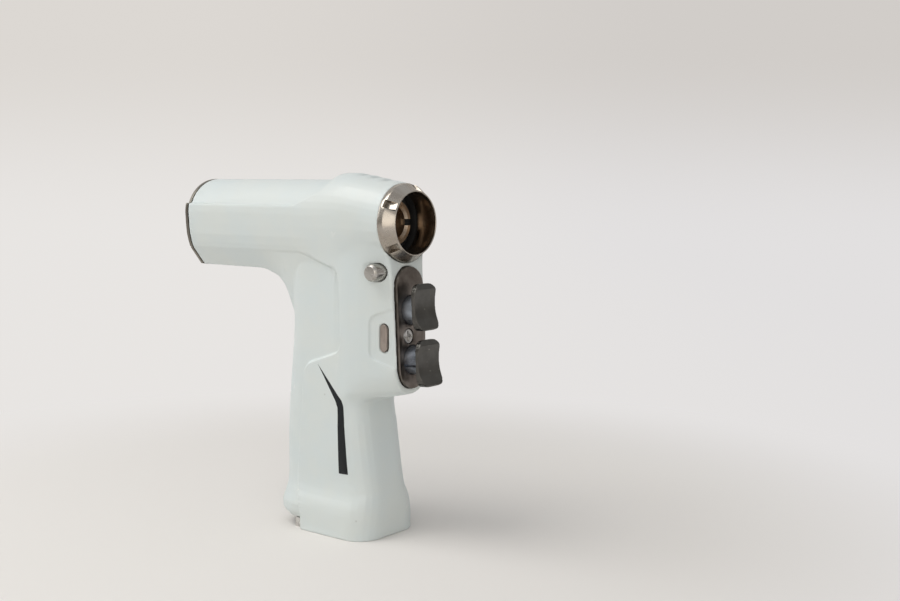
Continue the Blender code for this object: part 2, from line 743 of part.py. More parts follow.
def grip_armour(parent):
    """Raised sides of the grip, the foot skirt and the trigger block, as one loft."""
    rings = []
    for share in (0.0, 0.14, 0.22, 0.28, 0.34, 0.40, 0.50, 0.70, 0.88, 1.0):
        height = GRIP_TOP * share
        width = grip_half_width(height, 0)
        settle = share_curve(((0.0, 0.0), (0.40, 1.0)), share)
        nose_round = FOOT_CORNER_ROUND + (GRIP_FRONT_ROUND - FOOT_CORNER_ROUND) * settle
        rings.append(plan_ring(height, grip_front(height), -SKIRT_REAR - 4 * OVERRUN, width, width,
                               nose_round, OVERRUN))
    throat_shares = ((0.35, 0.10, 0.86), (0.65, 0.34, 0.66), (0.88, 0.68, 0.46))
    for rise, forward, narrow in throat_shares:
        height = GRIP_TOP + (CHIN_BOTTOM - GRIP_TOP) * rise
        front = -GRIP_FRONT_SETBACK + (block_face(CHIN_BOTTOM) + GRIP_FRONT_SETBACK) * forward
        rings.append(plan_ring(height, front, -SKIRT_REAR - 4 * OVERRUN,
                               GRIP_HALF_WIDTH * narrow, GRIP_HALF_WIDTH,
                               GRIP_HALF_WIDTH * narrow - 4 * OVERRUN * narrow, OVERRUN))
    chin_radius = CHIN_HEIGHT - CHIN_BOTTOM
    for degrees in (18, 32, 46, 60, 75, 90):
        angle = math.radians(degrees)
        height = CHIN_HEIGHT - chin_radius * math.cos(angle)
        width = max(BLOCK_HALF_WIDTH * math.sin(angle), BLOCK_EDGE_ROUND * 2)
        roll = share_curve(((0, 0.16), (20, 0.12), (40, 0.02), (90, 0.0)), degrees)
        front = block_face(height) - chin_radius * roll
        rings.append(plan_ring(height, front, -SKIRT_REAR - 4 * OVERRUN, width, GRIP_HALF_WIDTH,
                               BLOCK_EDGE_ROUND, OVERRUN))
    top_shares = ((0.20, 0.0), (0.60, 0.0), (0.78, 0.05), (0.86, 0.22), (0.93, 0.60), (1.0, 1.0))
    for share, spread in top_shares:
        height = CHIN_HEIGHT + (GRIP_HEAD - CHIN_HEIGHT) * share
        width = BLOCK_HALF_WIDTH + (BLOCK_THROAT_HALF_WIDTH - BLOCK_HALF_WIDTH) * spread
        front = block_face(height) - BLOCK_EDGE_ROUND * spread
        side = GRIP_HALF_WIDTH + GAP * spread
        rings.append(plan_ring(height, front, -SKIRT_REAR - 4 * OVERRUN, width, side,
                               BLOCK_EDGE_ROUND, OVERRUN))
    return loft("grip_armour", rings, parent)


def armour_outline():
    """Side view outline of everything raised, corners as (x, height, radius)."""
    top = AXIS_HEIGHT + ARMOUR_TOP_RISE
    foot = AXIS_HEIGHT - ARMOUR_FOOT_DROP
    behind = -BARREL_LENGTH - REACH_OUT
    return rounded([
        (REACH_OUT, -OVERRUN, 0),
        (REACH_OUT, AXIS_HEIGHT + REACH_OUT, 0),
        (-NOSE_BLEND - 3 * OVERRUN, AXIS_HEIGHT + REACH_OUT, 0),
        (-NOSE_BLEND - 4 * OVERRUN, AXIS_HEIGHT + BARREL_RADIUS * 3 / 4, SADDLE_RADIUS / 3),
        (-HUMP_START, top, SADDLE_RADIUS / 3),
        (behind, top, 0),
        (behind, foot, 0),
        (-HUMP_START + OVERRUN, foot + GAP, SADDLE_RADIUS / 2),
        (-SHOULDER_SETBACK - OVERRUN, BUTTON_HEIGHT, SADDLE_RADIUS / 3),
        (-SHOULDER_SETBACK - GRIP_STEP, PAD_LOW_HEIGHT + 3 * OVERRUN, SADDLE_RADIUS / 4),
        (-HUMP_START + 2 * OVERRUN, CHIN_HEIGHT - GAP, SADDLE_RADIUS / 3),
        (-HUMP_START - GRIP_STEP, FOOT_HEIGHT + OVERRUN, SADDLE_RADIUS / 2),
        (-SKIRT_REAR, SHOE_ROOF * 2, OVERRUN),
        (-SKIRT_REAR, -OVERRUN, 0),
    ])


def grip_cavity(parent):
    """Hollow of the grip, from the shoe's roof up into the barrel's bore."""
    inner = GRIP_HALF_WIDTH - GRIP_STEP - GRIP_WALL + GAP * 2
    base = SHOE_ROOF - OVERRUN
    span = AXIS_HEIGHT - BARREL_RADIUS - SADDLE_RADIUS
    rings = []
    stations = ((base, grip_front(0)), (FOOT_HEIGHT, grip_front(FOOT_HEIGHT)),
                (GRIP_TOP / 2, grip_front(GRIP_TOP / 2)),
                (GRIP_TOP, grip_front(GRIP_TOP)))
    for height, front in stations:
        rings.append(plan_ring(height, front - GRIP_WALL, grip_rear(max(height, FOOT_HEIGHT))
                               + GRIP_WALL, inner, inner, GRIP_FRONT_ROUND - GRIP_WALL,
                               GRIP_REAR_ROUND - GRIP_WALL))
    for height, depth in ((CHIN_BOTTOM + GRIP_WALL, BLOCK_WALL_DEPTH),
                          (UPPER_STEM_HEIGHT + STEM_RADIUS, BLOCK_WALL_DEPTH),
                          (BUTTON_HEIGHT - BUTTON_RADIUS - OVERRUN, BLOCK_TOP_WALL_DEPTH),
                          (AXIS_HEIGHT - BORE_RADIUS - OVERRUN, BLOCK_TOP_WALL_DEPTH)):
        rear = grip_rear(min(height, span)) + GRIP_WALL
        rings.append(plan_ring(height, -depth, rear, BLOCK_HALF_WIDTH - GRIP_WALL, inner,
                               BLOCK_EDGE_ROUND, GRIP_REAR_ROUND - GRIP_WALL))
    return loft("grip_cavity", rings, parent)


def pad_cutter(side, parent):
    """Wedge that flattens one side of the block round the safety slide."""
    depth = block_face(SLIDE_HEIGHT) + PAD_REAR_SETBACK
    outline = rounded([
        (depth, 2 * PAD_LOW_HEIGHT - PAD_REAR_LOW_HEIGHT, 0),
        (depth, 2 * PAD_HIGH_HEIGHT - PAD_REAR_HIGH_HEIGHT, 0),
        (-depth, PAD_REAR_HIGH_HEIGHT, PAD_ROUND),
        (-depth, PAD_REAR_LOW_HEIGHT, PAD_ROUND),
    ])
    low, high = (0, REACH_OUT) if side > 0 else (-REACH_OUT, 0)
    made = upright("pad_cutter", [outline], low, high, parent)
    made.location = (block_face(SLIDE_HEIGHT), side * PAD_FRONT_HALF_WIDTH, 0)
    made.rotation_euler = (math.pi / 2, 0, -side * PAD_SLANT)
    return made


def make_housing(root, barrel):
    """Cast housing: barrel, hump, trigger block, grip and foot in one hollow piece."""
    rings = [barrel_ring(-BARREL_LENGTH - OVERRUN, BARREL_FLOOR_DROP)]
    rings += [barrel_ring(x, drop) for x, drop in saddle_stations()]
    deep = saddle_stations()[-1][1]
    rings.append(barrel_ring(-SADDLE_SETBACK + GRIP_REAR_ROUND, deep))
    rings.append(barrel_ring(-SHOULDER_SETBACK - 2 * OVERRUN, BARREL_RADIUS + OVERRUN))
    rings.append(barrel_ring(-SHOULDER_SETBACK, BARREL_RADIUS + OVERRUN))
    housing = loft("housing", rings, root, "pale_enamel")
    join(housing, grip_core(root))
    armour = loft("barrel_armour", [armour_ring(x) for x in armour_places()], root)
    join(armour, grip_armour(root))
    trim = upright("armour_trim", [armour_outline()], -REACH_OUT, REACH_OUT, root)
    cut(armour, trim, "INTERSECT")
    join(housing, armour)
    bore = turned("housing_bore", rod(BORE_RADIUS, OVERRUN, -BARREL_LENGTH - REACH_OUT), barrel,
                  steps=ROUND_STEPS)
    cut(housing, bore)
    seat = turned("nose_seat", rod(RING_FLANGE_RADIUS + GAP, REACH_OUT, 0), barrel,
                  steps=ROUND_STEPS)
    seat.rotation_euler = (0, 0, math.pi / ROUND_STEPS)
    cut(housing, seat)
    behind = rectangle((-BARREL_LENGTH - REACH_OUT, 0), (-BARREL_LENGTH, AXIS_HEIGHT * 2))
    cut(housing, upright("rear_trim", [behind], -REACH_OUT, REACH_OUT, root))
    cut(housing, grip_cavity(root))
    return housing


def armour_places():
    """Places along the barrel where the raised form is sectioned."""
    setback_shares = (0.92, 0.84, 0.76, 0.68, 0.60, 0.52, 0.42, 0.32, 0.22, 0.12, 0.06)
    return [-BARREL_LENGTH - 2 * OVERRUN, -HUMP_START - OVERRUN,
            *(-HUMP_START * share for share in setback_shares), GAP * 2]


def foot_cuts(housing, root):
    """Shoe under the grip: the recess that takes the battery, open to the rear."""
    inner = FOOT_HALF_WIDTH - FOOT_WALL
    front = -FOOT_FRONT_SETBACK - FOOT_WALL
    rear = -GRIP_REAR - REACH_OUT
    inner_round = FOOT_CORNER_ROUND - FOOT_WALL
    shoe = rounded([(rear, -inner, 0), (front, -inner, inner_round),
                    (front, inner, inner_round), (rear, inner, 0)])
    cut(housing, flat("shoe_recess", [shoe], -OVERRUN, SHOE_ROOF, root))


def block_cuts(housing, root, plate_frame):
    """Pocket for the trigger plate, stem holes, screw hole, pads and the slide's slot."""
    length = (PLATE_TOP - PLATE_BOTTOM) / 2 + GAP
    middle = (plate_drop((PLATE_TOP + PLATE_BOTTOM) / 2), 0)
    pocket = flat("plate_pocket", [pill(length, PLATE_HALF_WIDTH + GAP, middle)],
                  -PLATE_THICKNESS - GAP, OVERRUN, plate_frame)
    cut(housing, pocket)
    for height in (UPPER_STEM_HEIGHT, LOWER_STEM_HEIGHT):
        hole = flat("stem_hole", [circle(bush_radius() + GAP, ROUND_STEPS // 2,
                                         (plate_drop(height), 0))],
                    -BLOCK_WALL_DEPTH * 2, 0, plate_frame)
        cut(housing, hole)
    screw = flat("screw_hole", [circle(PLATE_SCREW_RADIUS + GAP, SMALL_STEPS,
                                       (plate_drop(PLATE_SCREW_HEIGHT), -PLATE_SCREW_OFFSET))],
                 -PLATE_SCREW_LENGTH - GAP, 0, plate_frame)
    cut(housing, screw)
    for side in (1, -1):
        cut(housing, pad_cutter(side, root))
        outline = pill(SLIDE_HALF_HEIGHT + GAP, SLIDE_HALF_WIDTH + GAP, steps=ARC_STEPS)
        slot = upright("slide_pocket", [turn_over(outline, -SLIDE_SETBACK, SLIDE_HEIGHT)],
                       0, REACH_OUT, root)
        inner = slide_reach() - SLIDE_HEAD_LENGTH - SLIDE_TRAVEL - GAP
        slot.location = (0, inner if side > 0 else -inner - REACH_OUT, 0)
        cut(housing, slot)
    cut(housing, upright("slide_slot", [web_outline(GAP)], -BLOCK_HALF_WIDTH, BLOCK_HALF_WIDTH,
                         root))


def web_outline(gap):
    """Section of the safety slide's web, midway between the trigger stems, grown by a gap."""
    between = (UPPER_STEM_HEIGHT + LOWER_STEM_HEIGHT) / 2
    middle = between - (plate_face(between) + SLIDE_SETBACK) * math.tan(BLOCK_TILT)
    return rectangle((-SLIDE_SETBACK - SLIDE_WEB_HALF_WIDTH - gap,
                      middle - SLIDE_WEB_HALF_HEIGHT - gap),
                     (-SLIDE_SETBACK + SLIDE_WEB_HALF_WIDTH + gap,
                      middle + SLIDE_WEB_HALF_HEIGHT + gap))


def turn_over(outline, x, z):
    """Pill outline stood on end at a place in X and Z."""
    return [(x + b, z + a) for a, b in outline]


def slide_reach():
    """Distance from the middle plane to the pad's surface at the slide."""
    ahead = block_face(SLIDE_HEIGHT) + SLIDE_SETBACK
    return PAD_FRONT_HALF_WIDTH + ahead * math.tan(PAD_SLANT) + SLIDE_PROUD


def bush_radius():
    """Outer radius of a stem bush."""
    return STEM_RADIUS + RUNNING_GAP / 2 + BUSH_WALL


def plate_drop(height):
    """Distance down the tilted plate from its frame's origin to a height."""
    return (UPPER_STEM_HEIGHT - height) / math.cos(BLOCK_TILT)


def lock_cuts(housing, root, button_frame):
    """Blind bore for the release button and the lock pin's hole up into the nose."""
    bore = turned("button_bore", rod(BUTTON_RADIUS + GAP, REACH_OUT, -BUTTON_BORE_END),
                  button_frame, steps=SMALL_STEPS)
    cut(housing, bore)
    hole = flat("lock_hole", [circle(LOCK_PIN_RADIUS + GAP / 2, SMALL_STEPS, (-BUTTON_SETBACK, 0))],
                BUTTON_HEIGHT, AXIS_HEIGHT, root)
    cut(housing, hole)


def rear_cuts(housing, root):
    """Blind threads for the rear cap's screws and the slanted way for the motor's leads."""
    for k, (y, z) in enumerate(cap_screw_places()):
        hole = flat(f"cap_thread_{k + 1}", [circle(CAP_SCREW_RADIUS + GAP / 2, PIN_STEPS)],
                    -OVERRUN, CAP_SCREW_LENGTH, root)
        hole.rotation_euler = (0, math.pi / 2, 0)
        hole.location = (-BARREL_LENGTH, y, z)
        cut(housing, hole)
    low, high = lead_way()
    way = flat("lead_way", [circle(LEAD_RADIUS * 2, PIN_STEPS, turn=math.pi / PIN_STEPS)], 0,
               (high - low).length, root)
    way.location = low
    way.rotation_euler = (high - low).to_track_quat("Z", "Y").to_euler()
    cut(housing, way)


def cap_screw_places():
    """Y and height of each rear cap screw."""
    low = AXIS_HEIGHT - CAP_SCREW_LOW_DROP
    high = AXIS_HEIGHT + CAP_SCREW_HIGH_RISE
    return [(CAP_SCREW_LOW_HALF_SPACING, low), (-CAP_SCREW_LOW_HALF_SPACING, low),
            (CAP_SCREW_HIGH_HALF_SPACING, high), (-CAP_SCREW_HIGH_HALF_SPACING, high)]


def lead_way():
    """Lower and upper end of the slanted way from the grip's hollow to the motor."""
    windings = STATOR_SLOT_RADIUS - 2 * GAP
    high = Vector((-MOTOR_REAR + MOTOR_LENGTH + 2 * LEAD_RADIUS + GAP, 0,
                   AXIS_HEIGHT - windings - GAP - LEAD_RADIUS))
    low = Vector((-SADDLE_SETBACK + 2 * GRIP_WALL, 0, LEAD_WAY_LOW))
    return low, high


def dimple_cuts(housing, root):
    """Row of shallow oval thumb dimples along the hump."""
    for k in range(DIMPLES):
        bm = bmesh.new()
        bmesh.ops.create_uvsphere(bm, u_segments=SMALL_STEPS, v_segments=SMALL_STEPS // 2,
                                  radius=1)
        x = -DIMPLE_FIRST_SETBACK - DIMPLE_PITCH * k
        top = AXIS_HEIGHT + armour_half(x)[0][1]
        size = (DIMPLE_LENGTH / 2, DIMPLE_WIDTH / 2, DIMPLE_DEPTH * 2)
        bmesh.ops.scale(bm, verts=bm.verts, vec=size)
        made = place_object(f"dimple_{k + 1}", mesh_from(bm, "dimple"), root)
        made.location = (x, 0, top + DIMPLE_DEPTH)
        cut(housing, made)


# Barrel ends


def make_rear_cap(root, barrel):
    """Rear cover plate with a hollow spigot that seals the bore."""
    rear = -BARREL_LENGTH - CAP_THICKNESS
    plate = loft("rear_cap", [barrel_ring(-BARREL_LENGTH - GAP, BARREL_FLOOR_DROP),
                              barrel_ring(rear, BARREL_FLOOR_DROP)], root, "silver_alloy")
    wings = loft("cap_wings", [armour_ring(-BARREL_LENGTH - GAP), armour_ring(rear)], root)
    cut(wings, upright("wing_trim", [armour_outline()], -REACH_OUT, REACH_OUT, root), "INTERSECT")
    join(plate, wings)
    spigot_front = -BARREL_LENGTH + CAP_SPIGOT_LENGTH
    spigot = turned("cap_spigot", [
        (SEAT_RADIUS, spigot_front), (SEAT_RADIUS, spigot_front - OVERRUN),
        (SEAT_RADIUS - SEAL_GROOVE_DEPTH, spigot_front - OVERRUN),
        (SEAT_RADIUS - SEAL_GROOVE_DEPTH, spigot_front - OVERRUN - 3 * SEAL_GROOVE_DEPTH),
        (SEAT_RADIUS, spigot_front - OVERRUN - 3 * SEAL_GROOVE_DEPTH),
        (SEAT_RADIUS, -BARREL_LENGTH - CAP_THICKNESS / 2),
        (SEAT_RADIUS - SEAL_GROOVE_DEPTH - CAP_SPIGOT_WALL, -BARREL_LENGTH - CAP_THICKNESS / 2),
        (SEAT_RADIUS - SEAL_GROOVE_DEPTH - CAP_SPIGOT_WALL, spigot_front)], barrel)
    join(plate, spigot)
    cut(plate, turned("cap_bore", rod(CAP_BORE_RADIUS, spigot_front, rear - OVERRUN), barrel,
                      steps=SMALL_STEPS))
    for k, (y, z) in enumerate(cap_screw_places()):
        hole = turned(f"cap_hole_{k + 1}", [
            (0, CAP_THICKNESS + OVERRUN), (CAP_SCREW_RADIUS + GAP / 2, CAP_THICKNESS + OVERRUN),
            (CAP_SCREW_RADIUS + GAP / 2, CAP_SCREW_HEAD_DEPTH + GAP / 2),
            (CAP_SCREW_HEAD_RADIUS + GAP / 2, CAP_SCREW_HEAD_DEPTH + GAP / 2),
            (CAP_SCREW_HEAD_RADIUS + GAP / 2, -OVERRUN), (0, -OVERRUN)], root,
            steps=PIN_STEPS)
        hole.rotation_euler = (0, math.pi / 2, 0)
        hole.location = (rear, y, z)
        cut(plate, hole)
        screw = turned(f"rear_cap_screw_{k + 1}", [
            (0, CAP_SCREW_LENGTH), (CAP_SCREW_RADIUS, CAP_SCREW_LENGTH),
            (CAP_SCREW_RADIUS, CAP_SCREW_HEAD_DEPTH), (CAP_SCREW_HEAD_RADIUS, CAP_SCREW_HEAD_DEPTH),
            (CAP_SCREW_HEAD_RADIUS, 0), (CAP_SCREW_RADIUS * CAP_SCREW_SOCKET_SHARE, 0),
            (CAP_SCREW_RADIUS * CAP_SCREW_SOCKET_SHARE, CAP_SCREW_HEAD_DEPTH * CAP_SCREW_DEPTH_SHARE),
            (0, CAP_SCREW_HEAD_DEPTH * CAP_SCREW_DEPTH_SHARE)],
            root, "gear_steel", PIN_STEPS)
        screw.rotation_euler = (0, math.pi / 2, 0)
        screw.location = (rear + GAP / 2, y, z)
    groove = spigot_front - OVERRUN - SEAL_GROOVE_DEPTH * 3 / 2
    turned("rear_cap_seal", torus(SEAT_RADIUS - GAP, SEAL_WIRE_RADIUS, groove), barrel,
           "black_rubber")


def torus(middle, wire, height, steps=6):
    """Profile of a seal ring of round section."""
    return [(middle + wire * math.cos(-2 * math.pi * k / steps),
             height + wire * math.sin(-2 * math.pi * k / steps)) for k in range(steps)]


def make_nose_ring(barrel):
    """Threaded nose ring: flange, cone with spanner slots, and the bore for attachments."""
    ring = turned("nose_ring", [
        (RING_BORE_RADIUS + RING_EDGE, RING_REACH), (RING_RIM_RADIUS, RING_REACH),
        (RING_CONE_RADIUS, RING_FLANGE_LENGTH), (RING_FLANGE_RADIUS, RING_FLANGE_LENGTH - RING_EDGE),
        (RING_FLANGE_RADIUS, GAP), (SEAT_RADIUS, GAP), (SEAT_RADIUS, -RING_TAIL_LENGTH),
        (RING_TAIL_BORE_RADIUS, -RING_TAIL_LENGTH), (RING_TAIL_BORE_RADIUS, -RING_STEP_SETBACK),
        (RING_BORE_RADIUS, -RING_STEP_SETBACK), (RING_BORE_RADIUS, RING_REACH - RING_EDGE)],
        barrel, "warm_nickel", ROUND_STEPS)
    for k in range(SPANNER_SLOTS):
        angle = SPANNER_SLOT_FIRST_TURN + 2 * math.pi * k / SPANNER_SLOTS
        outline = rectangle((SPANNER_SLOT_FLOOR_RADIUS, -SPANNER_SLOT_WIDTH / 2),
                            (RING_FLANGE_RADIUS + OVERRUN, SPANNER_SLOT_WIDTH / 2))
        turned_outline = [(x * math.cos(angle) - y * math.sin(angle),
                           x * math.sin(angle) + y * math.cos(angle)) for x, y in outline]
        cut(ring, flat(f"spanner_slot_{k + 1}", [turned_outline],
                       RING_FLANGE_LENGTH - RING_EDGE / 2, RING_REACH + OVERRUN, barrel))
    hole = flat("ring_lock_hole", [circle(LOCK_PIN_RADIUS + GAP / 2, SMALL_STEPS)],
                0, AXIS_HEIGHT - BUTTON_HEIGHT, barrel)
    hole.rotation_euler = (0, math.pi / 2, 0)
    hole.location = (0, 0, -BUTTON_SETBACK)
    cut(ring, hole)


# Motor


def make_motor(barrel):
    """Stator, windings, magnet rotor and hollow shaft with the first sun cut on its nose."""
    rear = -MOTOR_REAR
    front = rear + MOTOR_LENGTH
    half_tooth = math.pi / STATOR_TEETH * STATOR_TOOTH_SHARE
    inner = []
    for k in range(STATOR_TEETH):
        middle = 2 * math.pi * k / STATOR_TEETH
        gap_middle = middle + math.pi / STATOR_TEETH
        for angle in (middle - half_tooth, middle, middle + half_tooth):
            inner.append((STATOR_BORE_RADIUS * math.cos(angle),
                          STATOR_BORE_RADIUS * math.sin(angle)))
        slot_half = math.pi / STATOR_TEETH - half_tooth
        for share in (-1, 0, 1):
            angle = gap_middle + slot_half * share
            inner.append((STATOR_SLOT_RADIUS * math.cos(angle),
                          STATOR_SLOT_RADIUS * math.sin(angle)))
    flat("motor_stator", [circle(SEAT_RADIUS, ROUND_STEPS), inner], rear, front, barrel,
         "lamination")
    make_windings(barrel, rear, front, half_tooth)
    turned("rotor_magnet", sleeve(ROTOR_RADIUS, SHAFT_RADIUS + GAP / 2, front - GAP, rear + GAP,
                                  2 * GAP), barrel, "magnet", INNER_STEPS)
    nose = STAGE_ONE_REAR + PLANET_WIDTH
    shaft_rear = rear_plate_front() - END_PLATE_THICKNESS
    neck = GEAR_MODULE * (SUN_TEETH / 2 - TOOTH_DEDENDUM_SHARE)
    shaft = turned("rotor_shaft", [
        (neck, nose - OVERRUN), (neck, STAGE_ONE_REAR - GAP), (SHAFT_RADIUS, STAGE_ONE_REAR - GAP),
        (SHAFT_RADIUS, shaft_rear), (SHAFT_BORE_RADIUS, shaft_rear),
        (SHAFT_BORE_RADIUS, nose - OVERRUN)], barrel, "gear_steel", SMALL_STEPS)
    join(shaft, flat("first_sun", [gear_outline(SUN_TEETH), circle(SHAFT_BORE_RADIUS + GAP / 3,
                                                                  SMALL_STEPS)],
                     STAGE_ONE_REAR, nose, barrel))


def rear_plate_front():
    """Front of the plate that closes the motor behind its end turns."""
    return -MOTOR_REAR - WINDING_OVERHANG - 2 * GAP


def make_windings(barrel, rear, front, half_tooth):
    """Copper windings: a bar in each slot and a ring of end turns at each end."""
    inner = STATOR_BORE_RADIUS + 3 * GAP
    outer = STATOR_SLOT_RADIUS - 2 * GAP
    front_ring = turned("motor_windings", sleeve(outer, inner, front + WINDING_OVERHANG,
                                                 front + GAP, 4 * GAP), barrel, "copper",
                        ROUND_STEPS // 2)
    rear_ring = turned("rear_end_turns", sleeve(outer, inner, rear - GAP, rear - WINDING_OVERHANG,
                                                4 * GAP), barrel, steps=INNER_STEPS)
    join(front_ring, rear_ring)
    slot_half = (math.pi / STATOR_TEETH - half_tooth) * BAR_WIDTH_SHARE
    for k in range(STATOR_TEETH):
        middle = 2 * math.pi * (k + 0.5) / STATOR_TEETH
        bar = [(radius * math.cos(middle + turn), radius * math.sin(middle + turn))
               for radius, turn in ((inner + 2 * GAP, -slot_half), (outer - 2 * GAP, -slot_half),
                                    (outer - 2 * GAP, slot_half), (inner + 2 * GAP, slot_half))]
        join(front_ring, flat(f"winding_bar_{k + 1}", [bar], rear - 2 * GAP, front + 2 * GAP,
                              barrel))


def bearing(name, outer, inner, front, width, barrel, steps=BEARING_STEPS):
    """Sealed ball bearing as one unit: two rings with a recessed shield between them."""
    ring = (outer - inner) * BEARING_RING_SHARE
    step = GAP * 2
    return turned(name, [
        (outer - ring, front), (outer, front), (outer, front - width), (outer - ring, front - width),
        (outer - ring, front - width + step), (inner + ring, front - width + step),
        (inner + ring, front - width), (inner, front - width), (inner, front),
        (inner + ring, front), (inner + ring, front - step), (outer - ring, front - step)],
        barrel, "gear_steel", steps)


def make_bearings(barrel):
    """Motor bearings, the plate between motor and gears, and the spindle's bearing pair."""
    play = RUNNING_GAP / 2
    front = rear_plate_front()
    seat = front - (END_PLATE_THICKNESS - SHAFT_BEARING_WIDTH) / 2
    turned("motor_rear_plate", [
        (SEAT_RADIUS, front), (SEAT_RADIUS, front - END_PLATE_THICKNESS),
        (SHAFT_BEARING_RADIUS + GAP / 2, front - END_PLATE_THICKNESS),
        (SHAFT_BEARING_RADIUS + GAP / 2, seat), (SHAFT_RADIUS + OVERRUN, seat),
        (SHAFT_RADIUS + OVERRUN, front)], barrel, "silver_alloy")
    bearing("rear_bearing", SHAFT_BEARING_RADIUS, SHAFT_RADIUS + play, seat - GAP / 2,
            SHAFT_BEARING_WIDTH, barrel)
    plate_rear = -END_PLATE_FRONT - END_PLATE_THICKNESS
    step = -END_PLATE_FRONT - (END_PLATE_THICKNESS - SHAFT_BEARING_WIDTH) / 2
    turned("motor_end_plate", [
        (SEAT_RADIUS, -END_PLATE_FRONT), (SEAT_RADIUS, plate_rear),
        (SHAFT_BEARING_RADIUS + GAP / 2, plate_rear), (SHAFT_BEARING_RADIUS + GAP / 2, step),
        (SHAFT_RADIUS + OVERRUN, step), (SHAFT_RADIUS + OVERRUN, -END_PLATE_FRONT)], barrel,
        "silver_alloy")
    bearing("front_bearing", SHAFT_BEARING_RADIUS, SHAFT_RADIUS + play, step - GAP / 2,
            SHAFT_BEARING_WIDTH, barrel)
    rear = SPINDLE_REAR + GAP
    hub_rear = HUB_REAR - GAP
    bearing("spindle_bearing_rear", SEAT_RADIUS, SPINDLE_RADIUS + play,
            rear + SPINDLE_BEARING_WIDTH, SPINDLE_BEARING_WIDTH, barrel)
    bearing("spindle_bearing_front", SEAT_RADIUS, SPINDLE_RADIUS + play, hub_rear,
            SPINDLE_BEARING_WIDTH, barrel)
    turned("bearing_spacer", sleeve(SEAT_RADIUS, SPACER_BORE_RADIUS,
                                    hub_rear - SPINDLE_BEARING_WIDTH - GAP,
                                    rear + SPINDLE_BEARING_WIDTH + GAP), barrel, "satin_steel",
           ROUND_STEPS // 2)


# Gears


def involute_turn(radius, base):
    """Angle swept by the tooth flank's curve out to a radius."""
    if radius <= base:
        return 0.0
    slope = math.sqrt(radius * radius / (base * base) - 1)
    return slope - math.atan(slope)


def gear_outline(teeth, internal=False):
    """Outline of one gear with a tooth, or on a ring a tooth space, along its first direction."""
    pitch = GEAR_MODULE * teeth / 2
    base = pitch * math.cos(PRESSURE_ANGLE)
    out = TOOTH_DEDENDUM_SHARE if internal else TOOTH_ADDENDUM_SHARE
    into = TOOTH_ADDENDUM_SHARE if internal else TOOTH_DEDENDUM_SHARE
    tip = pitch + GEAR_MODULE * out
    root = pitch - GEAR_MODULE * into
    play = TOOTH_BACKLASH / 2 / pitch
    half = math.pi / 2 / teeth + (play if internal else -play)
    flank = []
    for radius in (root, tip):
        flank.append((radius, half + involute_turn(pitch, base) - involute_turn(radius, base)))
    points = []
    for k in range(teeth):
        middle = 2 * math.pi * k / teeth
        for radius, turn in flank:
            points.append((radius * math.cos(middle - turn), radius * math.sin(middle - turn)))
        for radius, turn in reversed(flank):
            points.append((radius * math.cos(middle + turn), radius * math.sin(middle + turn)))
    return points


def planet_place(k):
    """Centre of a planet in the barrel's own frame."""
    angle = 2 * math.pi * k / PLANETS
    return GEAR_CENTRE * math.cos(angle), GEAR_CENTRE * math.sin(angle)


def make_gearbox(barrel):
    """Ring gear, two sets of planets, the first carrier with the second sun, and the spindle."""
    ring_front = CARRIER_TWO_REAR
    flat("ring_gear", [circle(SEAT_RADIUS, ROUND_STEPS), gear_outline(RING_TEETH, True)],
         RING_GEAR_REAR + GAP, ring_front, barrel, "gear_steel")
    for stage, rear in (("first", STAGE_ONE_REAR), ("second", STAGE_TWO_REAR)):
        for k in range(PLANETS):
            x, y = planet_place(k)
            axis = frame_empty(f"{stage}_planet_axis_{k + 1}", (x, y, 0), parent=barrel)
            flat(f"{stage}_planet_{k + 1}",
                 [gear_outline(PLANET_TEETH), circle(PLANET_PIN_RADIUS + RUNNING_GAP, PIN_STEPS)],
                 rear, rear + PLANET_WIDTH, axis, "gear_steel")
    carrier = turned("first_carrier", sleeve(CARRIER_RADIUS, SHAFT_BORE_RADIUS,
                                             CARRIER_ONE_REAR + CARRIER_THICKNESS,
                                             CARRIER_ONE_REAR, GAP), barrel, "gear_steel",
                     ROUND_STEPS // 2)
    add_pins(carrier, STAGE_ONE_REAR + GAP, CARRIER_ONE_REAR + OVERRUN, barrel)
    join(carrier, flat("second_sun", [gear_outline(SUN_TEETH), circle(SHAFT_BORE_RADIUS + GAP / 3,
                                                                    SMALL_STEPS)],
                       CARRIER_ONE_REAR + CARRIER_THICKNESS - GAP, STAGE_TWO_REAR + PLANET_WIDTH,
                       barrel))
    make_spindle(barrel)


def add_pins(carrier, rear, front, barrel):
    """Planet pins on a carrier."""
    for k in range(PLANETS):
        pin = flat(f"planet_pin_{k + 1}", [circle(PLANET_PIN_RADIUS, PIN_STEPS, planet_place(k))], rear,
                   front, barrel)
        join(carrier, pin)


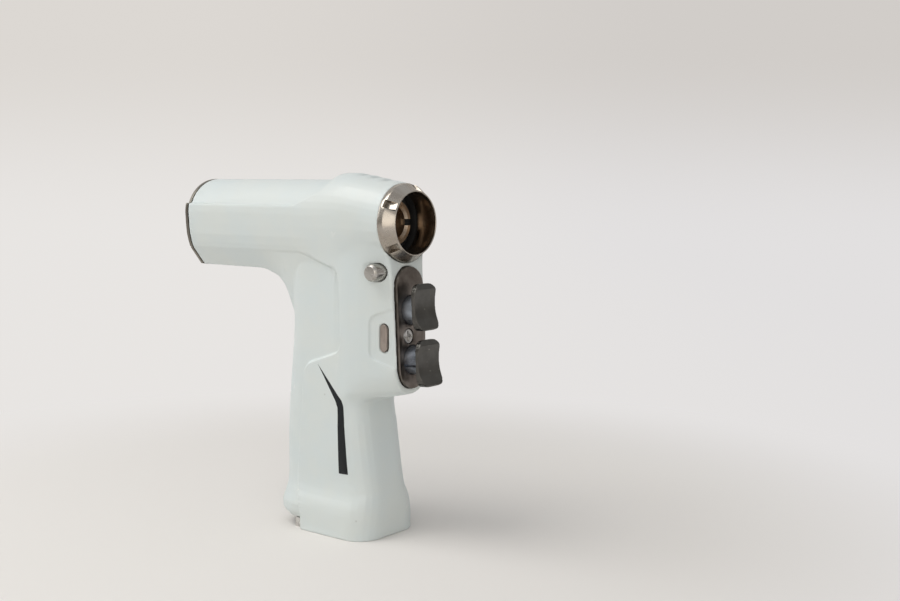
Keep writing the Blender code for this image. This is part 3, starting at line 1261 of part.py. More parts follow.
def make_spindle(barrel):
    """Output spindle: second carrier, shaft and the drive hub seen in the nose."""
    carrier_front = SPINDLE_REAR
    socket_rear = HUB_FRONT - HUB_SOCKET_DEPTH
    spindle = turned("output_spindle", [
        (HUB_RADIUS - GAP, HUB_FRONT), (HUB_RADIUS, HUB_FRONT - GAP), (HUB_RADIUS, HUB_REAR),
        (SPINDLE_RADIUS, HUB_REAR), (SPINDLE_RADIUS, carrier_front),
        (CARRIER_RADIUS, carrier_front), (CARRIER_RADIUS, CARRIER_TWO_REAR),
        (SHAFT_BORE_RADIUS, CARRIER_TWO_REAR), (SHAFT_BORE_RADIUS, socket_rear),
        (HUB_SOCKET_RADIUS, socket_rear), (HUB_SOCKET_RADIUS, HUB_FRONT - HUB_CHAMFER),
        (HUB_SOCKET_RADIUS + HUB_CHAMFER, HUB_FRONT)], barrel, "bronze", ROUND_STEPS)
    add_pins(spindle, STAGE_TWO_REAR + GAP, CARRIER_TWO_REAR + OVERRUN, barrel)
    for k in range(DRIVE_SLOTS // 2):
        angle = math.pi * 2 * k / DRIVE_SLOTS
        outline = rectangle((-HUB_RADIUS - OVERRUN, -DRIVE_SLOT_WIDTH / 2),
                            (HUB_RADIUS + OVERRUN, DRIVE_SLOT_WIDTH / 2))
        outline = [(x * math.cos(angle) - y * math.sin(angle),
                    x * math.sin(angle) + y * math.cos(angle)) for x, y in outline]
        cut(spindle, flat(f"drive_slot_{k + 1}", [outline], HUB_FRONT - DRIVE_SLOT_DEPTH,
                          HUB_FRONT + OVERRUN, barrel))
    turned("nose_seal", sleeve(SEAT_RADIUS, HUB_RADIUS + GAP,
                               -RING_TAIL_LENGTH - GAP, -RING_TAIL_LENGTH - GAP - NOSE_SEAL_WIDTH),
           barrel, "black_rubber")
    turned("cannula_tube", sleeve(CANNULA_RADIUS, CANNULA_BORE_RADIUS, socket_rear + GAP,
                                  -BARREL_LENGTH - CAP_THICKNESS + GAP), barrel, "satin_steel",
           SMALL_STEPS)


# Triggers


def make_trigger(name, height, standoff, rise, plate_frame):
    """One trigger: a saddle-shaped paddle on a round stem, its magnet, bush and spring."""
    axis = frame_empty(name + "_axis", (plate_drop(height), 0, 0), parent=plate_frame)
    middle = rise - PADDLE_HEIGHT / 2
    outline = rounded([(-rise, -PADDLE_HALF_WIDTH, PADDLE_CORNER),
                       (-rise + PADDLE_HEIGHT, -PADDLE_HALF_WIDTH, PADDLE_CORNER),
                       (-rise + PADDLE_HEIGHT, PADDLE_HALF_WIDTH, PADDLE_CORNER),
                       (-rise, PADDLE_HALF_WIDTH, PADDLE_CORNER)])
    top = standoff + PADDLE_THICKNESS + PADDLE_LIP
    paddle = flat(name, [outline], standoff, top, axis, "paddle_grey")
    saddle_shares = ((-0.62, 0.0), (-0.50, 0.0), (-0.40, 0.42), (-0.22, 0.10), (0.0, 0.0),
                     (0.20, 0.20), (0.38, 0.75), (0.46, 1.0), (0.52, 0.6), (0.62, -0.6))
    first_share, last_share = saddle_shares[0][0], saddle_shares[-1][0]
    profile = []
    for k in range(SMALL_STEPS + 1):
        share = first_share + (last_share - first_share) * k / SMALL_STEPS
        lift = share_curve(saddle_shares, share)
        profile.append((-middle + share * PADDLE_HEIGHT,
                        standoff + PADDLE_THICKNESS - PADDLE_HOLLOW
                        + (PADDLE_HOLLOW + PADDLE_LIP) * lift))
    below = standoff - OVERRUN
    closed = profile + [(profile[-1][0], below), (profile[0][0], below)]
    shaper = upright(name + "_shaper", [closed], -2 * PADDLE_HALF_WIDTH, 2 * PADDLE_HALF_WIDTH,
                     axis)
    cut(paddle, shaper, "INTERSECT")
    stem = turned(name + "_stem", rod(STEM_RADIUS, standoff + GAP * 2, -STEM_TAIL), axis,
                  steps=INNER_STEPS)
    join(paddle, stem)
    cut(paddle, turned(name + "_magnet_pocket", rod(MAGNET_RADIUS + GAP / 2,
                                                    -STEM_TAIL + MAGNET_LENGTH, -STEM_TAIL
                                                    - OVERRUN), axis, steps=PIN_STEPS))
    turned(name + "_magnet", rod(MAGNET_RADIUS, -STEM_TAIL + MAGNET_LENGTH - GAP, -STEM_TAIL + GAP),
           axis, "magnet", PIN_STEPS)
    turned(name + "_bush", sleeve(bush_radius(), STEM_RADIUS + RUNNING_GAP / 2,
                                  -PLATE_THICKNESS - 2 * GAP, -PLATE_THICKNESS - bush_length()),
           axis, "bronze", ROUND_STEPS // 2)
    seat = -frame_depth() + GAP
    spring(name + "_spring", SPRING_COIL_RADIUS, -STEM_TAIL - GAP, seat, axis)


def bush_length():
    """Length of a stem bush, through the block's front wall."""
    return BLOCK_WALL_DEPTH + block_face(UPPER_STEM_HEIGHT) - PLATE_THICKNESS


def frame_depth():
    """Distance behind the plate's face of the frame that the springs rest on."""
    return FRAME_SETBACK + plate_face(UPPER_STEM_HEIGHT)


def spring(name, radius, front, rear, parent, turns=SPRING_TURNS, steps=SPRING_STEPS):
    """Round wire coil spring along Z."""
    curve = bpy.data.curves.new(name, "CURVE")
    curve.dimensions = "3D"
    curve.bevel_depth = SPRING_WIRE_RADIUS
    curve.bevel_resolution = 1
    curve.use_fill_caps = True
    spline = curve.splines.new("POLY")
    count = turns * steps
    spline.points.add(count)
    low = rear + SPRING_WIRE_RADIUS
    high = front - SPRING_WIRE_RADIUS
    for k, point in enumerate(spline.points):
        angle = 2 * math.pi * k / steps
        lift = low + (high - low) * k / count
        point.co = (radius * math.cos(angle), radius * math.sin(angle), lift, 1)
    return from_curve(name, curve, (0, 0, 0), parent, "gear_steel")


def make_plate(plate_frame):
    """Obround trigger plate, with its two stem holes, and the screw that holds it."""
    upper = (0, 0)
    lower = (plate_drop(LOWER_STEM_HEIGHT), 0)
    screw = (plate_drop(PLATE_SCREW_HEIGHT), -PLATE_SCREW_OFFSET)
    middle = plate_drop((PLATE_TOP + PLATE_BOTTOM) / 2)
    hole = STEM_RADIUS + RUNNING_GAP
    outline = pill((PLATE_TOP - PLATE_BOTTOM) / 2, PLATE_HALF_WIDTH, (middle, 0))
    plate = flat("trigger_plate", [outline, circle(hole, ROUND_STEPS // 2, upper),
                                   circle(hole, ROUND_STEPS // 2, lower),
                                   circle(PLATE_SCREW_RADIUS + GAP, PIN_STEPS, screw)],
                 -PLATE_THICKNESS, 0, plate_frame, "dark_steel")
    recess = flat("screw_recess", [circle(PLATE_SCREW_HEAD_RADIUS + GAP, SMALL_STEPS, screw)],
                  -PLATE_SCREW_HEAD_DEPTH - GAP, OVERRUN, plate_frame)
    cut(plate, recess)
    axis = frame_empty("plate_screw_axis", (*screw, 0), parent=plate_frame)
    head = turned("trigger_plate_screw", [
        (0, -GAP), (PLATE_SCREW_HEAD_RADIUS, -GAP), (PLATE_SCREW_HEAD_RADIUS,
                                                     -PLATE_SCREW_HEAD_DEPTH),
        (PLATE_SCREW_RADIUS, -PLATE_SCREW_HEAD_DEPTH), (PLATE_SCREW_RADIUS, -PLATE_SCREW_LENGTH),
        (0, -PLATE_SCREW_LENGTH)], axis, "satin_steel", SMALL_STEPS)
    for k in range(2):
        reach = PLATE_SCREW_HEAD_RADIUS * PLATE_SCREW_SLOT_SHARE
        ends = ((-reach, -PLATE_SCREW_SLOT / 2), (reach, PLATE_SCREW_SLOT / 2))
        slot = rectangle(*ends)
        if k:
            slot = [(y, x) for x, y in slot]
        cut(head, flat(f"screw_slot_{k + 1}", [slot], -GAP - PLATE_SCREW_SLOT, OVERRUN, axis))


def make_slide(root):
    """Safety slide: two pill heads on a web that crosses the block between the stems."""
    reach = slide_reach()
    head = upright("safety_slide", [turn_over(pill(SLIDE_HALF_HEIGHT, SLIDE_HALF_WIDTH, steps=ARC_STEPS),
                                              -SLIDE_SETBACK, SLIDE_HEIGHT)],
                   -reach, -reach + SLIDE_HEAD_LENGTH, root, "bronze")
    other = upright("slide_far_head", [turn_over(pill(SLIDE_HALF_HEIGHT, SLIDE_HALF_WIDTH, steps=ARC_STEPS),
                                                 -SLIDE_SETBACK, SLIDE_HEIGHT)],
                    reach - SLIDE_HEAD_LENGTH, reach + SLIDE_TRAVEL, root)
    bridge = upright("slide_web", [web_outline(0)], -reach + SLIDE_HEAD_LENGTH / 2,
                     reach - SLIDE_HEAD_LENGTH / 2, root)
    join(head, bridge)
    join(head, other)


# Release


def make_release(root, button_frame):
    """Push button with a tapered waist, the lock pin that rides on it, and the return spring."""
    pin = LOCK_PIN_RADIUS
    ramp = BUTTON_TRAVEL
    drop = BUTTON_RADIUS - BUTTON_WAIST_RADIUS
    turned("release_button", [
        (0, BUTTON_REACH), (BUTTON_FACE_RADIUS, BUTTON_REACH),
        (BUTTON_RADIUS, BUTTON_REACH - BUTTON_CONE_LENGTH), (BUTTON_RADIUS, ramp + pin + drop),
        (BUTTON_WAIST_RADIUS, ramp + pin), (BUTTON_WAIST_RADIUS, ramp - pin),
        (BUTTON_RADIUS, -pin), (BUTTON_RADIUS, -BUTTON_TAIL), (0, -BUTTON_TAIL)],
        button_frame, "satin_steel", SMALL_STEPS)
    spring("release_spring", BUTTON_SPRING_RADIUS, -BUTTON_TAIL - GAP, -BUTTON_BORE_END + GAP,
           button_frame, 3)
    low = BUTTON_HEIGHT + BUTTON_RADIUS + GAP
    high = AXIS_HEIGHT - RING_BORE_RADIUS + LOCK_PIN_REACH
    axis = frame_empty("lock_pin_axis", (-BUTTON_SETBACK, 0, 0), parent=root)
    turned("lock_pin", rod(LOCK_PIN_RADIUS, high, low, GAP), axis, "gear_steel", PIN_STEPS)


# Electronics and battery connection


def board_ring_width():
    """Half width between the grip's inner side walls, less a gap."""
    return GRIP_HALF_WIDTH - GRIP_STEP - GRIP_WALL + 2 * GAP - GAP


def make_electronics(root, plate_frame):
    """Trigger frame, sensor board, power board with its module, and the motor's leads."""
    width = board_ring_width()
    depth = frame_depth()
    low = plate_drop(FRAME_BOTTOM)
    high = plate_drop(FRAME_TOP)
    flat("trigger_frame", [rounded([(high, -width, OVERRUN), (low, -width, OVERRUN),
                                    (low, width, OVERRUN), (high, width, OVERRUN)])],
         -depth - FRAME_THICKNESS, -depth, plate_frame, "black_plastic")
    behind = -depth - FRAME_THICKNESS - GAP
    flat("sensor_board", [rectangle((plate_drop(SENSOR_BOARD_TOP), -width * SENSOR_BOARD_WIDTH_SHARE),
                                    (plate_drop(SENSOR_BOARD_BOTTOM), width * SENSOR_BOARD_WIDTH_SHARE))],
         behind - BOARD_THICKNESS, behind, plate_frame, "board_green")
    board = flat("power_board", [rectangle((-POWER_BOARD_TOP, -width),
                                           (-POWER_BOARD_BOTTOM, width))],
                 0, BOARD_THICKNESS, root, "board_green")
    board.rotation_euler = (0, math.pi / 2, 0)
    board.location = (-POWER_BOARD_SETBACK, 0, 0)
    block = flat("power_module", [rectangle((-POWER_BLOCK_TOP, -POWER_BLOCK_HALF_WIDTH),
                                            (-POWER_BLOCK_BOTTOM, POWER_BLOCK_HALF_WIDTH))],
                 0, POWER_BLOCK_DEPTH, root, "silver_alloy")
    block.rotation_euler = (0, math.pi / 2, 0)
    block.location = (-POWER_BOARD_SETBACK + BOARD_THICKNESS + GAP, 0, 0)
    make_leads(root)


def make_leads(root):
    """Bundle of motor leads from the power board up the slanted way to the end turns."""
    low, high = lead_way()
    slope = (high - low).normalized()
    start = Vector((-POWER_BOARD_SETBACK + BOARD_THICKNESS / 2, 0, POWER_BOARD_TOP + 2 * GAP))
    reach = (low - start).length * LEAD_BEND_SHARE
    bend = [start, start + Vector((0, 0, reach)), low - slope * reach, low]
    curve = bpy.data.curves.new("motor_leads", "CURVE")
    curve.dimensions = "3D"
    curve.bevel_depth = LEAD_RADIUS
    curve.bevel_resolution = 1
    curve.use_fill_caps = True
    spline = curve.splines.new("POLY")
    route = smooth_route(bend, PIN_STEPS) + [high - slope * LEAD_RADIUS]
    spline.points.add(len(route) - 1)
    for point, place in zip(spline.points, route):
        point.co = (*place, 1)
    from_curve("motor_leads", curve, (0, 0, 0), root, "lead_red")


def smooth_route(bend, steps):
    """Points of a smooth bend, drawn by its two ends and the two points that lead it."""
    route = []
    for k in range(steps + 1):
        t = k / steps
        route.append(bend[0] * (1 - t) ** 3 + bend[1] * (3 * t * (1 - t) ** 2)
                     + bend[2] * (3 * t * t * (1 - t)) + bend[3] * t ** 3)
    return route


def make_terminal(root):
    """Insulating block that closes the grip's foot, and its contact blades."""
    inner = board_ring_width() - GAP
    front = grip_front(0) - GRIP_WALL - 2 * GAP - GRIP_FRONT_SETBACK / 4
    rear = grip_rear(FOOT_HEIGHT) + GRIP_WALL + 2 * GAP
    low = SHOE_ROOF + GAP
    block = flat("terminal_block", [rounded([
        (rear, -inner, GRIP_REAR_ROUND - GRIP_WALL), (front, -inner, GRIP_FRONT_ROUND - GRIP_WALL),
        (front, inner, GRIP_FRONT_ROUND - GRIP_WALL), (rear, inner, GRIP_REAR_ROUND - GRIP_WALL)])],
        low, low + TERMINAL_BLOCK_HEIGHT, root, "black_plastic")
    for k in range(BLADES):
        y = BLADE_SPACING * (k - (BLADES - 1) / 2)
        half = BLADE_THICKNESS / 2
        slot = flat(f"blade_slot_{k + 1}", [rectangle(
            (-BLADE_SETBACK - BLADE_LENGTH / 2 - GAP / 2, y - half - GAP / 2),
            (-BLADE_SETBACK + BLADE_LENGTH / 2 + GAP / 2, y + half + GAP / 2))],
            low - OVERRUN, low + TERMINAL_BLOCK_HEIGHT + OVERRUN, root)
        cut(block, slot)
        flat(f"contact_blade_{k + 1}", [rectangle(
            (-BLADE_SETBACK - BLADE_LENGTH / 2, y - half),
            (-BLADE_SETBACK + BLADE_LENGTH / 2, y + half))],
            low - BLADE_REACH, low + TERMINAL_BLOCK_HEIGHT + GAP, root, "contact_gold")


def make_rails(root):
    """Steel rails that the battery slides along, flush with the rim that the drill stands on."""
    wall = FOOT_HALF_WIDTH - FOOT_WALL - GAP
    for name, side in (("battery_rail_left", 1), ("battery_rail_right", -1)):
        top = SHOE_ROOF - GAP
        section = [(wall, top), (wall, 0), (wall - RAIL_LIP, 0),
                   (wall - RAIL_LIP, RAIL_THICKNESS), (wall - RAIL_THICKNESS, RAIL_THICKNESS),
                   (wall - RAIL_THICKNESS, top)]
        outline = [(-z, side * y) for y, z in section]
        rail = flat(name, [outline], -RAIL_REAR, -RAIL_FRONT - FOOT_CORNER_ROUND / 2, root,
                    "satin_steel")
        rail.rotation_euler = (0, math.pi / 2, 0)


def clear_scene():
    """Empty scene with the two collections."""
    for thing in list(bpy.data.objects):
        bpy.data.objects.remove(thing, do_unlink=True)
    collection("drill")
    collection("cutters")


def main():
    """Build the drill."""
    clear_scene()
    root = frame_empty("drill_frame", (FACE_X, 0, 0))
    barrel = frame_empty("barrel_axis", (0, 0, AXIS_HEIGHT), (0, math.pi / 2, 0), root)
    plate_frame = frame_empty("upper_stem_place",
                              (plate_face(UPPER_STEM_HEIGHT), 0, UPPER_STEM_HEIGHT),
                              (0, math.pi / 2 - BLOCK_TILT, 0), root)
    button_frame = frame_empty("release_axis", (-BUTTON_SETBACK, 0, BUTTON_HEIGHT),
                               (math.pi / 2, 0, 0), root)
    housing = make_housing(root, barrel)
    foot_cuts(housing, root)
    block_cuts(housing, root, plate_frame)
    lock_cuts(housing, root, button_frame)
    rear_cuts(housing, root)
    dimple_cuts(housing, root)
    make_rear_cap(root, barrel)
    make_nose_ring(barrel)
    make_motor(barrel)
    make_bearings(barrel)
    make_gearbox(barrel)
    make_plate(plate_frame)
    make_trigger("upper_trigger", UPPER_STEM_HEIGHT, UPPER_STANDOFF, UPPER_PADDLE_RISE, plate_frame)
    make_trigger("lower_trigger", LOWER_STEM_HEIGHT, LOWER_STANDOFF, LOWER_PADDLE_RISE, plate_frame)
    make_slide(root)
    make_release(root, button_frame)
    make_electronics(root, plate_frame)
    make_terminal(root)
    make_rails(root)


main()
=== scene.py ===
"""Surgical power drill: the visible finish of the battery handpiece, built over its solid model.

Lengths are in metres. X runs forward along the drive axis, Y runs left and Z runs up.
"""

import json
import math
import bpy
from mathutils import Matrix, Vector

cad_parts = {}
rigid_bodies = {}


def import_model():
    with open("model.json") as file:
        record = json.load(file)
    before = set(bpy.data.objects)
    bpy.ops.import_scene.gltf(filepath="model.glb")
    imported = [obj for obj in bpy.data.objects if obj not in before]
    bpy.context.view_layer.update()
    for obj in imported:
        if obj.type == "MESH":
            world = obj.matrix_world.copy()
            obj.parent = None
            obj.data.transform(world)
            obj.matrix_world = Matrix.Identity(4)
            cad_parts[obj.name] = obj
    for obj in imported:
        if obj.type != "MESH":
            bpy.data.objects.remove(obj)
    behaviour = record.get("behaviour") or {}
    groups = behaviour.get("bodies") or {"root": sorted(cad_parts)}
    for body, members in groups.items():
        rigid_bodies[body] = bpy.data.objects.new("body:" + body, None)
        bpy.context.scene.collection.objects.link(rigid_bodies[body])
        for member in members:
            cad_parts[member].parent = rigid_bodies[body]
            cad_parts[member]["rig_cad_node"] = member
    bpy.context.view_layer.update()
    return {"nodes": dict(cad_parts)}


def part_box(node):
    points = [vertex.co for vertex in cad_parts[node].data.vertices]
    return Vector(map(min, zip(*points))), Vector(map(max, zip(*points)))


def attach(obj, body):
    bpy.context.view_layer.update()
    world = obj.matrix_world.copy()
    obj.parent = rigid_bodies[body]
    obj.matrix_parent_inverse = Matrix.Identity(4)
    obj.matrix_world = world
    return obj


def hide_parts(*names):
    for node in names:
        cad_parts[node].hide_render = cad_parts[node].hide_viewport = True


bl_info = {
    "name": "Surgical Power Drill",
    "version": (1, 0, 0),
    "blender": (4, 5, 0),
    "location": "3D View > Sidebar > Drill",
    "description": "Builds the visible pieces, finishes and studio of a surgical drill handpiece",
    "category": "Mesh",
}

import bmesh
import bpy
from mathutils import Matrix, Vector

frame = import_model()

RING_REACH = 0.0077
nose_low, nose_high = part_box("nose_ring")
FACE_X = nose_high[0] - RING_REACH
AXIS_Z = (nose_low[2] + nose_high[2]) / 2
PLATE_TILT = math.radians(3.0)
HOUSING_TRIANGLES = 190000
PADDLE_TRIANGLES = 60000
MERGE_GAP = 1e-6


# Selecting and editing


def select_only(*objects):
    """Object mode, with only these objects selected and the first one active."""
    if bpy.context.object and bpy.context.object.mode != "OBJECT":
        bpy.ops.object.mode_set(mode="OBJECT")
    bpy.ops.object.select_all(action="DESELECT")
    for item in objects:
        item.hide_set(False)
        item.select_set(True)
    if objects:
        bpy.context.view_layer.objects.active = objects[0]


def edit(piece, kind="VERT"):
    """Edit mode on one piece with everything selected."""
    select_only(piece)
    bpy.ops.object.mode_set(mode="EDIT")
    bpy.ops.mesh.select_mode(type=kind)
    bpy.ops.mesh.select_all(action="SELECT")


def leave_edit():
    bpy.ops.object.mode_set(mode="OBJECT")


def pick(piece, kind, test):
    """In edit mode, selects the vertices or edges whose place and item pass the test."""
    bpy.ops.mesh.select_all(action="DESELECT")
    bm = bmesh.from_edit_mesh(piece.data)
    if kind == "EDGE":
        for edge in bm.edges:
            if test((edge.verts[0].co + edge.verts[1].co) / 2, edge):
                edge.select_set(True)
    else:
        for vert in bm.verts:
            if test(vert.co, vert):
                vert.select_set(True)
    bm.select_flush_mode()
    bmesh.update_edit_mesh(piece.data)


def chain(name, points):
    """A new object whose edges run through the points and back to the first."""
    select_only()
    bpy.ops.mesh.primitive_plane_add(size=0.001)
    piece = bpy.context.object
    piece.name = name
    edit(piece)
    bpy.ops.mesh.merge(type="CENTER")
    bpy.ops.transform.translate(value=points[0])
    last = Vector(points[0])
    for point in (*points[1:], points[0]):
        step = Vector(point) - last
        bpy.ops.mesh.extrude_region_move(TRANSFORM_OT_translate={"value": step})
        last = Vector(point)
    bpy.ops.mesh.select_all(action="SELECT")
    bpy.ops.mesh.remove_doubles(threshold=1e-7)
    return piece


def lathe(name, profile, centre, axis, steps):
    """A turned piece: (distance along the axis, radius) points spun right round the axis."""
    axis = Vector(axis).normalized()
    side = axis.orthogonal().normalized()
    centre = Vector(centre)
    piece = chain(name, [centre + axis * along + side * radius for along, radius in profile])
    bpy.ops.mesh.spin(steps=steps, angle=2 * math.pi, center=centre, axis=axis)
    bpy.ops.mesh.select_all(action="SELECT")
    bpy.ops.mesh.remove_doubles(threshold=2e-7)
    bpy.ops.mesh.normals_make_consistent(inside=False)
    leave_edit()
    return piece


def prism(name, points, depth):
    """A closed flat outline pushed out along a vector."""
    piece = chain(name, points)
    bpy.ops.mesh.edge_face_add()
    bpy.ops.mesh.extrude_region_move(TRANSFORM_OT_translate={"value": depth})
    bpy.ops.mesh.select_all(action="SELECT")
    bpy.ops.mesh.normals_make_consistent(inside=False)
    leave_edit()
    return piece


def apply_modifier(piece, kind, **values):
    """Adds one modifier, sets its values and applies it."""
    select_only(piece)
    modifier = piece.modifiers.new(kind.title(), kind)
    for key, value in values.items():
        setattr(modifier, key, value)
    name = modifier.name
    bpy.ops.object.modifier_apply(modifier=name)
    if name in piece.modifiers:
        raise RuntimeError("modifier " + kind + " didn't apply to " + piece.name)


def cut_away(piece, cutter):
    """Cuts one piece with another, which is used up."""
    apply_modifier(piece, "BOOLEAN", object=cutter, operation="DIFFERENCE", solver="EXACT")
    bpy.data.objects.remove(cutter)


def soft_edges(piece, width, segments=2, angle=30.0):
    """Rounds the sharp edges a little, and shades what lies between them smooth."""
    apply_modifier(piece, "BEVEL", width=width, segments=segments, limit_method="ANGLE",
                   angle_limit=math.radians(angle), use_clamp_overlap=True, harden_normals=False)
    shade(piece)


def shade(piece, angle=32.0):
    """Smooth shading, with the edges sharper than the angle kept crisp."""
    select_only(piece)
    bpy.ops.object.shade_smooth_by_angle(angle=math.radians(angle))


def node_copy(node, name):
    """A merged copy of a solid's mesh, free to be changed."""
    source = frame["nodes"][node]
    select_only(source)
    bpy.ops.object.duplicate()
    piece = bpy.context.object
    piece.name = name
    bpy.ops.object.parent_clear(type="CLEAR_KEEP_TRANSFORM")
    if "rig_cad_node" in piece:
        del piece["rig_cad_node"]
    piece.data = piece.data.copy()
    piece.data.materials.clear()
    edit(piece)
    bpy.ops.mesh.remove_doubles(threshold=MERGE_GAP)
    leave_edit()
    return piece


def soft_copy(node, name, voxel, rounds, limit):
    """A copy of a solid with all its corners melted, as on a cast and polished piece."""
    piece = node_copy(node, name)
    apply_modifier(piece, "REMESH", mode="VOXEL", voxel_size=voxel, adaptivity=0.0)
    apply_modifier(piece, "SMOOTH", factor=0.5, iterations=rounds)
    count = sum(len(face.vertices) - 2 for face in piece.data.polygons)
    if count > limit:
        apply_modifier(piece, "DECIMATE", ratio=limit / count)
    select_only(piece)
    bpy.ops.object.shade_smooth()
    return piece


def melt(piece, low, high, fade, rounds):
    """Blends the surface inside one box, fading out over a margin around it."""
    zone = piece.vertex_groups.new(name="zone")
    for vert in piece.data.vertices:
        out = max(max(low[k] - vert.co[k], vert.co[k] - high[k]) for k in range(3))
        weight = 1 - min(max(out / fade, 0), 1)
        if weight > 0:
            zone.add([vert.index], weight, "REPLACE")
    apply_modifier(piece, "SMOOTH", factor=0.5, iterations=rounds, vertex_group="zone")
    piece.vertex_groups.remove(piece.vertex_groups["zone"])


def crisp_copy(node, name, width, segments=2):
    """A copy of a solid whose flat faces are whole again and whose edges are broken."""
    piece = node_copy(node, name)
    edit(piece)
    bpy.ops.mesh.dissolve_limited(angle_limit=math.radians(1.0))
    leave_edit()
    soft_edges(piece, width, segments)
    return piece


def place(piece, body, slot, material, *nodes):
    """Finishes a piece: what it rides on, which solids it stands for, and its finish."""
    if not piece.data.materials:
        piece.data.materials.append(material)
    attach(piece, body)
    if nodes:
        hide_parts(*nodes)


# Shader groups


def new_group(name, inputs, outputs):
    """An empty shader group with named float, vector and colour sockets."""
    group = bpy.data.node_groups.new(name, "ShaderNodeTree")
    for label, kind, default in inputs:
        socket = group.interface.new_socket(label, in_out="INPUT", socket_type=kind)
        if default is not None:
            socket.default_value = default
    for label, kind in outputs:
        group.interface.new_socket(label, in_out="OUTPUT", socket_type=kind)
    return group, group.nodes.new("NodeGroupInput"), group.nodes.new("NodeGroupOutput")


def math_node(tree, operation, a, b=None, clamp=False):
    """A Math node fed by sockets or numbers; gives its output socket."""
    node = tree.nodes.new("ShaderNodeMath")
    node.operation = operation
    node.use_clamp = clamp
    for slot, value in ((0, a), (1, b)):
        if value is None:
            continue
        if isinstance(value, (int, float)):
            node.inputs[slot].default_value = value
        else:
            tree.links.new(value, node.inputs[slot])
    return node.outputs[0]


def remap(tree, value, low, high, to_low=0.0, to_high=1.0, smooth=True):
    """A value stretched from one range to another, eased at its ends."""
    node = tree.nodes.new("ShaderNodeMapRange")
    node.interpolation_type = "SMOOTHSTEP" if smooth else "LINEAR"
    tree.links.new(value, node.inputs["Value"])
    for label, setting in (("From Min", low), ("From Max", high), ("To Min", to_low),
                           ("To Max", to_high)):
        if isinstance(setting, (int, float)):
            node.inputs[label].default_value = setting
        else:
            tree.links.new(setting, node.inputs[label])
    return node.outputs["Result"]


def noise(tree, vector, scale, detail=3.0, roughness=0.55):
    """A Noise Texture node's value."""
    node = tree.nodes.new("ShaderNodeTexNoise")
    node.inputs["Detail"].default_value = detail
    node.inputs["Roughness"].default_value = roughness
    tree.links.new(vector, node.inputs["Vector"])
    if isinstance(scale, (int, float)):
        node.inputs["Scale"].default_value = scale
    else:
        tree.links.new(scale, node.inputs["Scale"])
    return node.outputs["Fac"]


